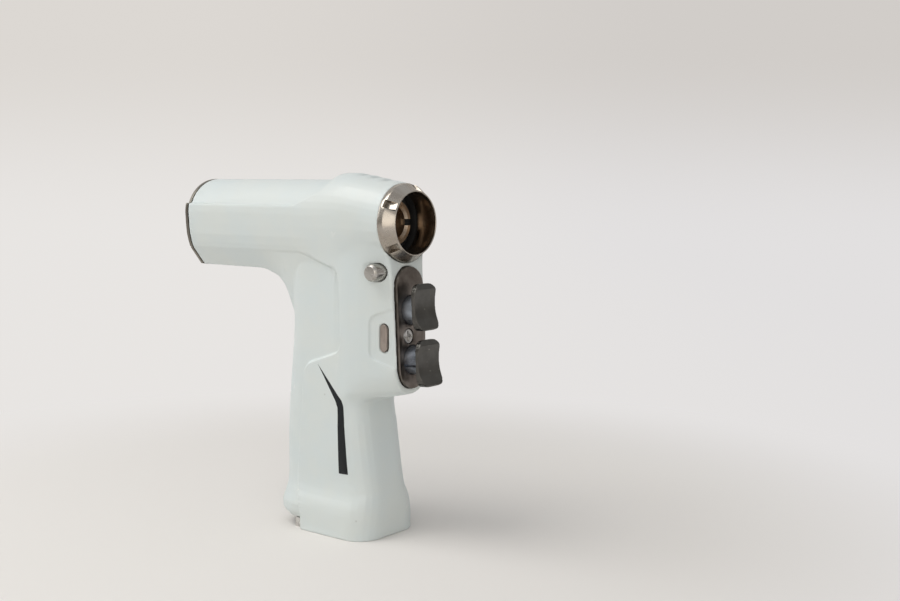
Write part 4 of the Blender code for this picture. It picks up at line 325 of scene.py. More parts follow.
def build_groups():
    """The effects that several finishes share."""
    group, given, out = new_group(
        "cast_skin",
        [("Vector", "NodeSocketVector", None), ("Grain Scale", "NodeSocketFloat", 1500.0),
         ("Cloud Scale", "NodeSocketFloat", 45.0), ("Speck Scale", "NodeSocketFloat", 420.0),
         ("Speck Amount", "NodeSocketFloat", 0.3)],
        [("Grain", "NodeSocketFloat"), ("Cloud", "NodeSocketFloat"),
         ("Speck", "NodeSocketFloat")])
    grain = noise(group, given.outputs["Vector"], given.outputs["Grain Scale"], 2.0)
    cloud = noise(group, given.outputs["Vector"], given.outputs["Cloud Scale"], 4.0, 0.6)
    spots = group.nodes.new("ShaderNodeTexVoronoi")
    group.links.new(given.outputs["Vector"], spots.inputs["Vector"])
    group.links.new(given.outputs["Speck Scale"], spots.inputs["Scale"])
    near = remap(group, spots.outputs["Distance"], 0.05, 0.16, 1.0, 0.0)
    chance = group.nodes.new("ShaderNodeSeparateColor")
    group.links.new(spots.outputs["Color"], chance.inputs["Color"])
    few = math_node(group, "LESS_THAN", chance.outputs[0], given.outputs["Speck Amount"])
    group.links.new(grain, out.inputs["Grain"])
    group.links.new(cloud, out.inputs["Cloud"])
    group.links.new(math_node(group, "MULTIPLY", near, few), out.inputs["Speck"])

    # Edge mask that lightens sharp convex edges: partly wear, partly a painted highlight along the
    # edges
    group, given, out = new_group(
        "edge_wear_and_highlight",
        [("Vector", "NodeSocketVector", None), ("Start", "NodeSocketFloat", 0.53),
         ("Full", "NodeSocketFloat", 0.60), ("Break Scale", "NodeSocketFloat", 260.0)],
        [("Mask", "NodeSocketFloat")])
    geometry = group.nodes.new("ShaderNodeNewGeometry")
    edge = remap(group, geometry.outputs["Pointiness"], given.outputs["Start"],
                 given.outputs["Full"])
    ragged = remap(group, noise(group, given.outputs["Vector"], given.outputs["Break Scale"],
                                4.0, 0.65), 0.35, 0.62)
    group.links.new(math_node(group, "MULTIPLY", edge, ragged, True), out.inputs["Mask"])

    group, given, out = new_group(
        "handling",
        [("Vector", "NodeSocketVector", None), ("Scale", "NodeSocketFloat", 60.0),
         ("Smooth", "NodeSocketFloat", 0.3), ("Dull", "NodeSocketFloat", 0.45)],
        [("Roughness", "NodeSocketFloat"), ("Scratch", "NodeSocketFloat")])
    rubbed = remap(group, noise(group, given.outputs["Vector"], given.outputs["Scale"], 5.0, 0.6),
                   0.3, 0.7, given.outputs["Smooth"], given.outputs["Dull"])
    stretch = group.nodes.new("ShaderNodeMapping")
    stretch.inputs["Rotation"].default_value = (0.35, 0.6, 0.2)
    stretch.inputs["Scale"].default_value = (60.0, 900.0, 900.0)
    group.links.new(given.outputs["Vector"], stretch.inputs["Vector"])
    hair = remap(group, noise(group, stretch.outputs["Vector"], 1.0, 2.0), 0.66, 0.72)
    group.links.new(rubbed, out.inputs["Roughness"])
    group.links.new(hair, out.inputs["Scratch"])

    group, given, out = new_group(
        "turning_marks",
        [("Vector", "NodeSocketVector", None), ("Ring Scale", "NodeSocketFloat", 9000.0),
         ("Streak Scale", "NodeSocketFloat", 30.0)],
        [("Rings", "NodeSocketFloat"), ("Streaks", "NodeSocketFloat")])
    parts = group.nodes.new("ShaderNodeSeparateXYZ")
    group.links.new(given.outputs["Vector"], parts.inputs["Vector"])
    radius = math_node(group, "SQRT", math_node(
        group, "ADD", math_node(group, "MULTIPLY", parts.outputs["Y"], parts.outputs["Y"]),
        math_node(group, "MULTIPLY", parts.outputs["Z"], parts.outputs["Z"])))
    along = math_node(group, "ADD", radius, parts.outputs["X"])
    line = group.nodes.new("ShaderNodeTexNoise")
    line.noise_dimensions = "1D"
    line.inputs["Detail"].default_value = 3.0
    group.links.new(along, line.inputs["W"])
    group.links.new(given.outputs["Ring Scale"], line.inputs["Scale"])
    turn = math_node(group, "ARCTAN2", parts.outputs["Y"], parts.outputs["Z"])
    wrap = group.nodes.new("ShaderNodeCombineXYZ")
    group.links.new(math_node(group, "SINE", turn), wrap.inputs["X"])
    group.links.new(math_node(group, "COSINE", turn), wrap.inputs["Y"])
    group.links.new(math_node(group, "MULTIPLY", along, given.outputs["Streak Scale"]),
                    wrap.inputs["Z"])
    group.links.new(line.outputs["Fac"], out.inputs["Rings"])
    group.links.new(noise(group, wrap.outputs["Vector"], 2.2, 3.0), out.inputs["Streaks"])


class Finish:
    """One material being wired: Object coordinates in, a Principled BSDF out."""

    def __init__(self, name, centre=(0, 0, 0), turn=(0, 0, 0)):
        self.material = bpy.data.materials.new(name)
        self.material.use_nodes = True
        self.tree = self.material.node_tree
        self.shader = self.tree.nodes["Principled BSDF"]
        coordinates = self.tree.nodes.new("ShaderNodeTexCoord")
        mapping = self.tree.nodes.new("ShaderNodeMapping")
        mapping.vector_type = "TEXTURE"
        mapping.inputs["Location"].default_value = centre
        mapping.inputs["Rotation"].default_value = turn
        self.tree.links.new(coordinates.outputs["Object"], mapping.inputs["Vector"])
        self.vector = mapping.outputs["Vector"]

    def group(self, name, **values):
        """Places a shared effect with its own values; gives its outputs."""
        node = self.tree.nodes.new("ShaderNodeGroup")
        node.node_tree = bpy.data.node_groups[name]
        self.tree.links.new(self.vector, node.inputs["Vector"])
        for label, value in values.items():
            node.inputs[label.replace("_", " ")].default_value = value
        return node.outputs

    def mix(self, factor, low, high):
        """Colour between two colours, either of which may be a socket."""
        node = self.tree.nodes.new("ShaderNodeMix")
        node.data_type = "RGBA"
        self.wire(factor, node.inputs["Factor"])
        for value, socket in ((low, node.inputs["A"]), (high, node.inputs["B"])):
            self.wire(value, socket)
        return node.outputs["Result"]

    def wire(self, value, socket):
        """Feeds a socket from another socket, a colour or a number."""
        if isinstance(value, bpy.types.NodeSocket):
            self.tree.links.new(value, socket)
        elif isinstance(value, (tuple, list)):
            socket.default_value = (*value, 1.0)[:4]
        else:
            socket.default_value = value

    def bump(self, height, distance, strength=1.0, normal=None):
        """Relief of a given depth, over the relief that is already there."""
        node = self.tree.nodes.new("ShaderNodeBump")
        node.inputs["Distance"].default_value = distance
        node.inputs["Strength"].default_value = strength
        self.tree.links.new(height, node.inputs["Height"])
        if normal is not None:
            self.tree.links.new(normal, node.inputs["Normal"])
        return node.outputs["Normal"]

    def done(self, colour, roughness, metallic=0.0, normal=None, **constants):
        """Feeds the shader and gives the finished material."""
        self.wire(colour, self.shader.inputs["Base Color"])
        self.wire(roughness, self.shader.inputs["Roughness"])
        self.wire(metallic, self.shader.inputs["Metallic"])
        if normal is not None:
            self.tree.links.new(normal, self.shader.inputs["Normal"])
        for label, value in constants.items():
            self.shader.inputs[label.replace("_", " ")].default_value = value
        return self.material


def enamel(name, colour):
    """Pale satin coating over cast metal, lighter on its sharp edges, partly as wear and partly as
    a painted highlight.
    """
    work = Finish(name)
    skin = work.group("cast_skin", Grain_Scale=1700.0, Cloud_Scale=38.0, Speck_Scale=240.0,
                      Speck_Amount=0.006)
    edge_shine_and_wear = work.group("edge_wear_and_highlight", Start=0.515, Full=0.56, Break_Scale=180.0)
    touch = work.group("handling", Scale=48.0, Smooth=0.36, Dull=0.50)
    cool = tuple(part * share for part, share in zip(colour, (0.975, 0.99, 1.0)))
    warm = tuple(part * share for part, share in zip(colour, (1.02, 1.005, 0.985)))
    clouds = work.mix(remap(work.tree, skin["Cloud"], 0.3, 0.7), cool, warm)
    specks = work.mix(math_node(work.tree, "MULTIPLY", skin["Speck"], 0.35), clouds,
                      (0.30, 0.30, 0.28))
    # Sharp edges lightened: partly wear, partly painted highlight
    edges = work.mix(math_node(work.tree, "MULTIPLY", edge_shine_and_wear["Mask"], 0.5), specks,
                     (0.78, 0.79, 0.77))
    normal = work.bump(skin["Grain"], 0.00002, 0.45)
    normal = work.bump(touch["Scratch"], 0.000004, 0.5, normal)
    return work.done(edges, touch["Roughness"], 0.0, normal, Coat_Weight=0.09,
                     Coat_Roughness=0.22)


def turned_metal(name, colour, dark, smooth, dull, centre, turn=(0, 0, 0), rings=9000.0,
                 metallic=1.0, wear=0.6):
    """Metal with the marks of the lathe running round its axis."""
    work = Finish(name, centre, turn)
    marks = work.group("turning_marks", Ring_Scale=rings, Streak_Scale=40.0)
    touch = work.group("handling", Scale=180.0, Smooth=smooth, Dull=dull)
    edge_shine_and_wear = work.group("edge_wear_and_highlight", Start=0.53, Full=0.62, Break_Scale=600.0)
    tone = work.mix(remap(work.tree, marks["Streaks"], 0.3, 0.7), dark, colour)
    tone = work.mix(math_node(work.tree, "MULTIPLY", touch["Scratch"], 0.25), tone,
                    tuple(part * 1.25 for part in colour))
    # Sharp edges lightened: partly wear, partly painted highlight
    tone = work.mix(math_node(work.tree, "MULTIPLY", edge_shine_and_wear["Mask"], wear), tone,
                    tuple(min(part * 1.45, 0.9) for part in colour))
    normal = work.bump(marks["Rings"], 0.0000016, 0.7)
    return work.done(tone, touch["Roughness"], metallic, normal)


def plain_metal(name, colour, dark, smooth, dull, grain=1400.0, depth=0.000006, metallic=1.0,
                speck=0.05):
    """Ground, blasted or plated metal with a fine even grain."""
    work = Finish(name)
    skin = work.group("cast_skin", Grain_Scale=grain, Cloud_Scale=160.0, Speck_Scale=900.0,
                      Speck_Amount=speck)
    edge_shine_and_wear = work.group("edge_wear_and_highlight", Start=0.53, Full=0.60, Break_Scale=500.0)
    touch = work.group("handling", Scale=150.0, Smooth=smooth, Dull=dull)
    tone = work.mix(remap(work.tree, skin["Cloud"], 0.3, 0.7), dark, colour)
    tone = work.mix(math_node(work.tree, "MULTIPLY", skin["Speck"], 0.5), tone,
                    tuple(part * 0.5 for part in dark))
    # Sharp edges lightened: partly wear, partly painted highlight, as on the paddles' corners
    tone = work.mix(math_node(work.tree, "MULTIPLY", edge_shine_and_wear["Mask"], 0.7), tone,
                    tuple(min(part * 2.0, 0.85) for part in colour))
    normal = work.bump(skin["Grain"], depth, 0.6)
    normal = work.bump(touch["Scratch"], 0.000003, 0.5, normal)
    return work.done(tone, touch["Roughness"], metallic, normal)


def moulded(name, colour, smooth, dull, grain=900.0, depth=0.00001, **constants):
    """Moulded plastic, rubber or coated board."""
    work = Finish(name)
    skin = work.group("cast_skin", Grain_Scale=grain, Cloud_Scale=120.0, Speck_Scale=500.0,
                      Speck_Amount=0.05)
    edge_shine_and_wear = work.group("edge_wear_and_highlight", Start=0.53, Full=0.62, Break_Scale=400.0)
    touch = work.group("handling", Scale=140.0, Smooth=smooth, Dull=dull)
    tone = work.mix(skin["Cloud"], tuple(part * 0.8 for part in colour), colour)
    # Sharp edges lightened: partly wear, partly painted highlight
    tone = work.mix(math_node(work.tree, "MULTIPLY", edge_shine_and_wear["Mask"], 0.4), tone,
                    tuple(min(part * 2.0 + 0.03, 0.8) for part in colour))
    normal = work.bump(skin["Grain"], depth, 0.6)
    return work.done(tone, touch["Roughness"], 0.0, normal, **constants)


def laminated(name, colour):
    """Stacked steel sheets, seen as fine lines across the drive axis."""
    work = Finish(name)
    touch = work.group("handling", Scale=120.0, Smooth=0.35, Dull=0.5)
    bands = work.tree.nodes.new("ShaderNodeTexWave")
    bands.inputs["Scale"].default_value = 450.0
    bands.inputs["Distortion"].default_value = 0.3
    work.tree.links.new(work.vector, bands.inputs["Vector"])
    tone = work.mix(bands.outputs["Fac"], tuple(part * 0.6 for part in colour), colour)
    return work.done(tone, touch["Roughness"], 1.0, work.bump(bands.outputs["Fac"], 0.00004, 0.6))


def make_finishes(colours):
    """Every material, by its slot name."""
    build_groups()
    axis = (0, 0, AXIS_Z)
    button_low, button_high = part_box("release_button")
    button = tuple((button_low[k] + button_high[k]) / 2 for k in range(3))
    return {
        "pale_enamel": enamel("pale_enamel", tuple(colours.housing)),
        "stripe_ink": moulded("stripe_ink", (0.008, 0.010, 0.012), 0.38, 0.5, 1700.0, 0.000008,
                              Specular_IOR_Level=0.3),
        "warm_nickel": turned_metal("warm_nickel", (0.46, 0.42, 0.37), (0.35, 0.31, 0.265), 0.20,
                                    0.32, axis),
        "bore_bronze": turned_metal("bore_bronze", (0.42, 0.345, 0.27), (0.37, 0.30, 0.235), 0.22,
                                    0.27, axis, rings=6000.0, wear=0.05),
        "satin_steel": turned_metal("satin_steel", (0.56, 0.55, 0.53), (0.44, 0.43, 0.41), 0.26,
                                    0.38, axis),
        "silver_alloy": turned_metal("silver_alloy", (0.23, 0.213, 0.183), (0.18, 0.165, 0.143),
                                     0.28, 0.40, axis),
        "button_steel": turned_metal("button_steel", (0.52, 0.50, 0.47), (0.40, 0.38, 0.35), 0.24,
                                     0.36, button, (0, 0, math.pi / 2)),
        "dark_steel": plain_metal("dark_steel", (0.20, 0.175, 0.155), (0.13, 0.11, 0.095), 0.30,
                                  0.42),
        "paddle_grey": plain_metal("paddle_grey", tuple(colours.paddle),
                                   tuple(part * 0.8 for part in colours.paddle), 0.30, 0.40,
                                   1600.0, 0.000007),
        "stem_satin": plain_metal("stem_satin", (0.36, 0.39, 0.43), (0.27, 0.30, 0.34), 0.34,
                                  0.46),
        "stem_peened": plain_metal("stem_peened", (0.36, 0.39, 0.44), (0.10, 0.11, 0.13), 0.36,
                                   0.52, 2200.0, 0.00005, speck=0.5),
        "bronze": turned_metal("bronze", (0.36, 0.29, 0.22), (0.26, 0.20, 0.15), 0.24, 0.36, axis),
        "gear_steel": turned_metal("gear_steel", (0.42, 0.42, 0.43), (0.30, 0.30, 0.31), 0.26,
                                   0.38, axis),
        "lamination": laminated("lamination", (0.24, 0.24, 0.26)),
        "copper": plain_metal("copper", (0.62, 0.27, 0.13), (0.42, 0.17, 0.08), 0.28, 0.4),
        "magnet": plain_metal("magnet", (0.35, 0.35, 0.36), (0.26, 0.26, 0.27), 0.22, 0.34),
        "black_rubber": moulded("black_rubber", (0.018, 0.018, 0.018), 0.55, 0.7),
        "black_plastic": moulded("black_plastic", (0.028, 0.028, 0.03), 0.38, 0.52),
        "board_green": moulded("board_green", (0.02, 0.13, 0.06), 0.3, 0.42),
        "contact_gold": plain_metal("contact_gold", (0.80, 0.56, 0.22), (0.64, 0.42, 0.15), 0.2,
                                    0.32),
        "lead_red": moulded("lead_red", (0.40, 0.02, 0.02), 0.35, 0.48),
        "slide_bronze": plain_metal("slide_bronze", (0.42, 0.36, 0.32), (0.33, 0.28, 0.25), 0.30,
                                    0.44),
    }


# Properties


class DRILL_sizes(bpy.types.PropertyGroup):
    """Sizes of the visible finish."""

    cast_voxel: bpy.props.FloatProperty(
        name="Housing detail", description="Finest detail kept on the cast housing",
        default=0.00042, min=0.0002, subtype="DISTANCE", unit="LENGTH")
    paddle_voxel: bpy.props.FloatProperty(
        name="Paddle detail", description="Finest detail kept on the trigger paddles",
        default=0.0002, min=0.0001, subtype="DISTANCE", unit="LENGTH")
    stripe_rise: bpy.props.FloatProperty(
        name="Stripe rise", description="How far the printed stripe stands off the housing",
        default=0.00005, min=0.0, subtype="DISTANCE", unit="LENGTH")


class DRILL_colours(bpy.types.PropertyGroup):
    """Colours of the main finishes and of the studio."""

    housing: bpy.props.FloatVectorProperty(
        name="Housing", description="Colour of the pale coating", default=(0.615, 0.668, 0.668),
        size=3, min=0.0, max=1.0, subtype="COLOR")
    paddle: bpy.props.FloatVectorProperty(
        name="Paddles", description="Colour of the trigger paddles", default=(0.118, 0.114, 0.105),
        size=3, min=0.0, max=1.0, subtype="COLOR")
    floor: bpy.props.FloatVectorProperty(
        name="Floor", description="Colour of the floor and backdrop",
        default=(0.775, 0.752, 0.722), size=3, min=0.0, max=1.0, subtype="COLOR")


finishes = {}


def sizes():
    """The scene's size settings."""
    return bpy.context.scene.drill_sizes


# Pieces


# Boxes from the nose's face, with their margin and rounds of smoothing, where edges melt
BLENDS = (
    ((-0.0300, 0.0120, 0.0560), (-0.0110, 0.0240, 0.0700), 0.0040, 160),
    ((-0.0700, 0.0090, 0.0900), (-0.0430, 0.0240, 0.1170), 0.0040, 160),
    ((-0.0260, 0.0120, 0.1240), (-0.0085, 0.0240, 0.1340), 0.0035, 120),
)

# Heights between which the foot swells or narrows, and by how much at each step
FOOT_SWELL = 0.0002
FOOT_PINCH = -0.00015
FOOT_STEPS = (
    (0.0030, 0.0200, FOOT_SWELL), (0.0050, 0.0190, FOOT_SWELL), (0.0065, 0.0182, FOOT_SWELL),
    (0.0080, 0.0175, FOOT_SWELL), (0.0092, 0.0168, FOOT_SWELL), (0.0105, 0.0160, FOOT_SWELL),
    (0.0118, 0.0150, FOOT_SWELL), (0.0225, 0.0310, FOOT_PINCH), (0.0240, 0.0290, FOOT_PINCH),
)
FOOT_FADE = 0.0015
FOOT_ROUNDS = 24

DIMPLE_SETBACK = 0.0080
DIMPLE_PITCH = 0.0068
DIMPLE_HALF_LENGTH = 0.0024
DIMPLE_HALF_WIDTH = 0.0068
DIMPLE_SHARES = (1.0, 0.93, 0.84, 0.73, 0.60, 0.42)
DIMPLE_STEP = 0.00011

BUTTON_CLEARANCE = 0.0002
BUTTON_BORE_START = -0.0300
BUTTON_BORE_LENGTH = 0.0411
BUTTON_BORE_SIDES = 48


class DRILL_OT_housing(bpy.types.Operator):
    """Casts the pistol housing with its raised armour, panels, pads and thumb dimples"""

    bl_idname = "drill.housing"
    bl_label = "Housing"

    def execute(self, context):
        piece = soft_copy("housing", "housing_shell", sizes().cast_voxel, 6, HOUSING_TRIANGLES)
        for low, high, fade, rounds in BLENDS:
            for side in (-1, 1):
                near = min(low[1] * side, high[1] * side)
                far = max(low[1] * side, high[1] * side)
                melt(piece, (FACE_X + low[0], near, low[2]), (FACE_X + high[0], far, high[2]),
                     fade, rounds)
        self.swell_foot(piece)
        self.press_dimples(piece)
        self.bore_button(piece)
        shade(piece, 42.0)
        place(piece, "handpiece", "pale_enamel", finishes["pale_enamel"], "housing")
        return {"FINISHED"}

    @staticmethod
    def swell_foot(piece):
        """Rounds the foot's sides out into a shoulder, and pinches the grip above it."""
        middle = Vector((FACE_X - 0.0300, 0, 0))
        edit(piece)
        for k, (low, high, swell) in enumerate(FOOT_STEPS):
            rear, front = FACE_X - 0.0560 + 0.0014 * k, FACE_X - 0.0075 - 0.0010 * k

            def outer(at, vert):
                out = Vector((at.x - middle.x, at.y * 2, 0))
                return (low < at.z < high and rear < at.x < front and abs(at.y) > 0.0100
                        and vert.normal.dot(out) > 0)
            pick(piece, "VERT", outer)
            bpy.ops.transform.shrink_fatten(value=swell)
        leave_edit()
        skirt, end = FACE_X - 0.0440, FACE_X - 0.0600
        melt(piece, (skirt, -0.0300, 0.0035), (FACE_X + 0.0100, 0.0300, 0.0340), FOOT_FADE,
             FOOT_ROUNDS)
        melt(piece, (end, -0.0300, 0.0130), (skirt, 0.0300, 0.0340), FOOT_FADE, FOOT_ROUNDS)

    @staticmethod
    def press_dimples(piece):
        """Presses three oval thumb dimples across the top of the hump."""
        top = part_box("housing")[1][2]
        edit(piece)
        for k in range(3):
            for share in DIMPLE_SHARES:
                def inside(at, vert):
                    along = at.x - FACE_X + DIMPLE_SETBACK + DIMPLE_PITCH * k
                    return (at.z > top - 0.0040 and vert.normal.z > 0.3
                            and (along / DIMPLE_HALF_LENGTH) ** 2
                            + (at.y / DIMPLE_HALF_WIDTH) ** 2 < share ** 2)
                pick(piece, "VERT", inside)
                bpy.ops.transform.translate(value=(0, 0, -DIMPLE_STEP))
        leave_edit()
        melt(piece, (FACE_X - 0.0250, -0.0110, top - 0.0050),
             (FACE_X - 0.0050, 0.0110, top + 0.001), 0.0005, 4)

    @staticmethod
    def bore_button(piece):
        """Cuts the button's bore again at its full width, which smoothing had narrowed."""
        low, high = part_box("release_button")
        middle = Vector(((low[0] + high[0]) / 2, BUTTON_BORE_START, (low[2] + high[2]) / 2))
        radius = (high[0] - low[0]) / 2 + BUTTON_CLEARANCE
        turns = (math.tau * step / BUTTON_BORE_SIDES for step in range(BUTTON_BORE_SIDES))
        ring = [middle + Vector((math.cos(turn), 0, math.sin(turn))) * radius for turn in turns]
        cut_away(piece, prism("button_cutter", ring, (0, BUTTON_BORE_LENGTH, 0)))


# Outline of the printed stripe, from the nose's face and the floor
STRIPE = ((-0.03680, 0.07868), (-0.02937, 0.07084), (-0.02253, 0.06315), (-0.02171, 0.06067),
          (-0.01863, 0.02951), (-0.02404, 0.02935), (-0.02477, 0.05967), (-0.02602, 0.06276),
          (-0.03206, 0.07186))
STRIPE_CUTS = 24


class DRILL_OT_stripes(bpy.types.Operator):
    """Prints the bent tapering stripe on each side of the grip"""

    bl_idname = "drill.stripes"
    bl_label = "Grip stripes"

    def execute(self, context):
        shell = bpy.data.objects["housing_shell"]
        rise = sizes().stripe_rise
        for side, name in ((-1, "grip_stripe_right"), (1, "grip_stripe_left")):
            stripe = chain(name, [(FACE_X + x, side * 0.024, z) for x, z in STRIPE])
            bpy.ops.mesh.edge_face_add()
            bpy.ops.mesh.quads_convert_to_tris(ngon_method="CLIP")
            bpy.ops.mesh.subdivide(number_cuts=STRIPE_CUTS)
            leave_edit()
            apply_modifier(stripe, "SHRINKWRAP", target=shell, wrap_method="PROJECT",
                           use_project_y=True, use_negative_direction=True,
                           use_positive_direction=True, project_limit=0.02)
            apply_modifier(stripe, "SOLIDIFY", thickness=rise * 2, offset=0.0)
            edit(stripe)
            bpy.ops.mesh.normals_make_consistent(inside=False)
            leave_edit()
            place(stripe, "handpiece", "black_plastic", finishes["stripe_ink"])
        return {"FINISHED"}


class DRILL_OT_rear_cap(bpy.types.Operator):
    """Rounds the rim of the rear cap"""

    bl_idname = "drill.rear_cap"
    bl_label = "Rear cap"

    def execute(self, context):
        cap = crisp_copy("rear_cap", "rear_cap_plate", 0.0004, 3)
        place(cap, "handpiece", "silver_alloy", finishes["silver_alloy"], "rear_cap")
        return {"FINISHED"}


# Nose ring's section, as distance from its face along the axis and radius
NOSE_SECTION = (
    (0.0077, 0.0141), (0.0076, 0.01435), (0.0072, 0.0145), (0.0034, 0.0171),
    (0.0028, 0.0175), (0.0024, 0.0176), (0.0001, 0.0176), (0.0001, 0.0160),
    (-0.0079, 0.0160), (-0.0079, 0.0145), (-0.0046, 0.0145), (-0.0046, 0.0149),
    (-0.0040, 0.0149), (-0.0040, 0.0144), (-0.0032, 0.0144), (-0.0030, 0.0138),
    (0.0072, 0.0138), (0.0075, 0.01388),
)
NOTCHES = 5
NOTCH_TURN = 24.0
NOTCH_HALF_WIDTH = 0.0019
NOTCH_FLOOR = 0.0146
NOTCH_DEPTH = 0.004
NOTCH_REAR = 0.0017
NOTCH_LENGTH = 0.007


class DRILL_OT_nose(bpy.types.Operator):
    """Turns the nose ring with its spanner notches and stepped bore"""

    bl_idname = "drill.nose"
    bl_label = "Nose ring"

    def execute(self, context):
        centre = (FACE_X, 0, AXIS_Z)
        ring = lathe("nose_ring_body", NOSE_SECTION, centre, (1, 0, 0), 128)
        for k in range(NOTCHES):
            turn = math.radians(NOTCH_TURN + 360.0 / NOTCHES * k)
            down, left = math.cos(turn), math.sin(turn)
            out = Vector((0, left, -down))
            side = Vector((0, down, left)) * NOTCH_HALF_WIDTH
            base = Vector(centre) + out * NOTCH_FLOOR + Vector((NOTCH_REAR, 0, 0))
            corners = [base - side, base + side, base + side + out * NOTCH_DEPTH,
                       base - side + out * NOTCH_DEPTH]
            cut_away(ring, prism("notch_cutter", corners, (NOTCH_LENGTH, 0, 0)))
        soft_edges(ring, 0.00014, 2, 28.0)
        # Painted shade: the groove and the bore behind it get the black rubber finish to stand for
        # the dark inside the groove
        for finish in ("warm_nickel", "bore_bronze", "black_rubber"):
            ring.data.materials.append(finishes[finish])
        for face in ring.data.polygons:
            radius = math.hypot(face.center.y, face.center.z - AXIS_Z)
            along = face.center.x - FACE_X
            if radius < 0.01395 and -0.0031 < along < 0.0070:
                face.material_index = 1
            elif 0.01405 < radius < 0.0152 and along < -0.0031:
                face.material_index = 2
        place(ring, "handpiece", "warm_nickel", finishes["warm_nickel"], "nose_ring")
        return {"FINISHED"}


# Each trigger's height at its stem, how far its paddle stands off, and its stem's finish
TRIGGERS = {
    "upper_trigger": (0.1050, 0.0063, "stem_satin"),
    "lower_trigger": (0.0828, 0.0074, "stem_peened"),
}
STEM_REACH = 0.0108
PADDLE_STEP = 0.00025
PADDLE_LIMITS = (0.0060, 0.0065, 0.0070, 0.0075)
SLOT_HEIGHT = 0.0013
SLOT_DROP = 0.0026
SLOT_LENGTH = 0.0042


class DRILL_OT_triggers(bpy.types.Operator):
    """Shapes the two saddle paddles on their round stems"""

    bl_idname = "drill.triggers"
    bl_label = "Triggers"

    def execute(self, context):
        axis = Vector((math.cos(PLATE_TILT), 0, math.sin(PLATE_TILT)))
        up = Vector((-math.sin(PLATE_TILT), 0, math.cos(PLATE_TILT)))
        for body, (height, standoff, stem) in TRIGGERS.items():
            piece = soft_copy(body, body + "_paddle", sizes().paddle_voxel, 8, PADDLE_TRIANGLES)
            base = Vector((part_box(body)[0][0] + STEM_REACH, 0, height))
            edge = (base + axis * standoff).dot(axis)
            for limit in PADDLE_LIMITS:
                for side in (-1, 1):
                    edit(piece)
                    pick(piece, "VERT", lambda at, vert: at.y * side > limit
                         and at.dot(axis) > edge - 0.0003)
                    bpy.ops.transform.translate(value=(0, -PADDLE_STEP * side, 0))
                    leave_edit()
            if body == "lower_trigger":
                corner = base - up * SLOT_DROP - Vector((0, 0.0080, 0))
                end = corner + axis * (standoff - 0.0001)
                cut_away(piece, prism(
                    "slot_cutter", [corner, end, end + up * SLOT_HEIGHT,
                                    corner + up * SLOT_HEIGHT], (0, SLOT_LENGTH, 0)))
                shade(piece, 40.0)
            piece.data.materials.append(finishes["paddle_grey"])
            piece.data.materials.append(finishes[stem])
            for face in piece.data.polygons:
                face.material_index = 1 if face.center.dot(axis) < edge else 0
            place(piece, body, "paddle_grey", finishes["paddle_grey"], body)
        return {"FINISHED"}


class DRILL_OT_plate(bpy.types.Operator):
    """Mills the long trigger plate and its cross-slotted screw"""

    bl_idname = "drill.plate"
    bl_label = "Trigger plate"

    def execute(self, context):
        plate = crisp_copy("trigger_plate", "trigger_plate_face", 0.00035, 3)
        place(plate, "handpiece", "dark_steel", finishes["dark_steel"], "trigger_plate")
        screw = crisp_copy("trigger_plate_screw", "plate_screw", 0.00012, 2)
        place(screw, "handpiece", "satin_steel", finishes["satin_steel"], "trigger_plate_screw")
        return {"FINISHED"}


class DRILL_OT_controls(bpy.types.Operator):
    """Turns the release button and rounds the head of the safety slide"""

    bl_idname = "drill.controls"
    bl_label = "Release button and safety slide"

    def execute(self, context):
        button = crisp_copy("release_button", "release_button_pin", 0.00015, 3)
        place(button, "release_button", "satin_steel", finishes["button_steel"],
              "release_button")
        slide = crisp_copy("safety_slide", "safety_slide_bar", 0.0003, 3)
        place(slide, "safety_slide", "bronze", finishes["slide_bronze"], "safety_slide")
        return {"FINISHED"}


class DRILL_OT_inner(bpy.types.Operator):
    """Gives every other solid its finish"""

    bl_idname = "drill.inner"
    bl_label = "Inner pieces"

    def execute(self, context):
        for solid in frame["nodes"].values():
            for slot in solid.material_slots:
                key = slot.material.name.split(".")[0]
                if key not in finishes:
                    raise RuntimeError("no finish for " + key)
                slot.material = finishes[key]
        return {"FINISHED"}


# Studio


ACROSS = Vector((0.7864, 0.6177, 0.0))
AWAY = Vector((-0.6177, 0.7864, 0.0))

# Colours of the glow painted on the paper, standing in for the light falling off across it: near
# left, near right, far left and far right
PAINTED_PAPER_LIGHT = ((0.807, 0.785, 0.765), (0.760, 0.745, 0.745), (0.715, 0.684, 0.650),
         (0.638, 0.610, 0.584))
AIR_LOW = (0.46, 0.41, 0.35, 1)
AIR_HIGH = (0.95, 0.97, 1.0, 1)
AIR_SEEN = (0.70, 0.67, 0.635, 1)
AIR_STRENGTH = 0.62

# Each lamp's place from the middle of the drill, size, power and colour
LAMP_TARGET = Vector((0.0, 0.0, 0.09))
LAMPS = (
    ("key_light", (-0.42, -0.50, 1.05), 0.9, 7.6, (1.0, 0.98, 0.95)),
    ("left_light", (-1.2, -0.35, 0.45), 0.7, 2.4, (0.94, 0.97, 1.0)),
    ("front_light", (0.60, -0.80, 0.12), 1.0, 3.5, (1.0, 0.95, 0.875)),
)

CAMERA_LENS = 48.026
CAMERA_SENSOR = 36.0
CAMERA_PLACE = (FACE_X + 0.34764, -0.40843, 0.16258)
CAMERA_LOOK = (-0.6147, 0.7825, -0.0993)
CAMERA_ROLL = math.radians(0.27)


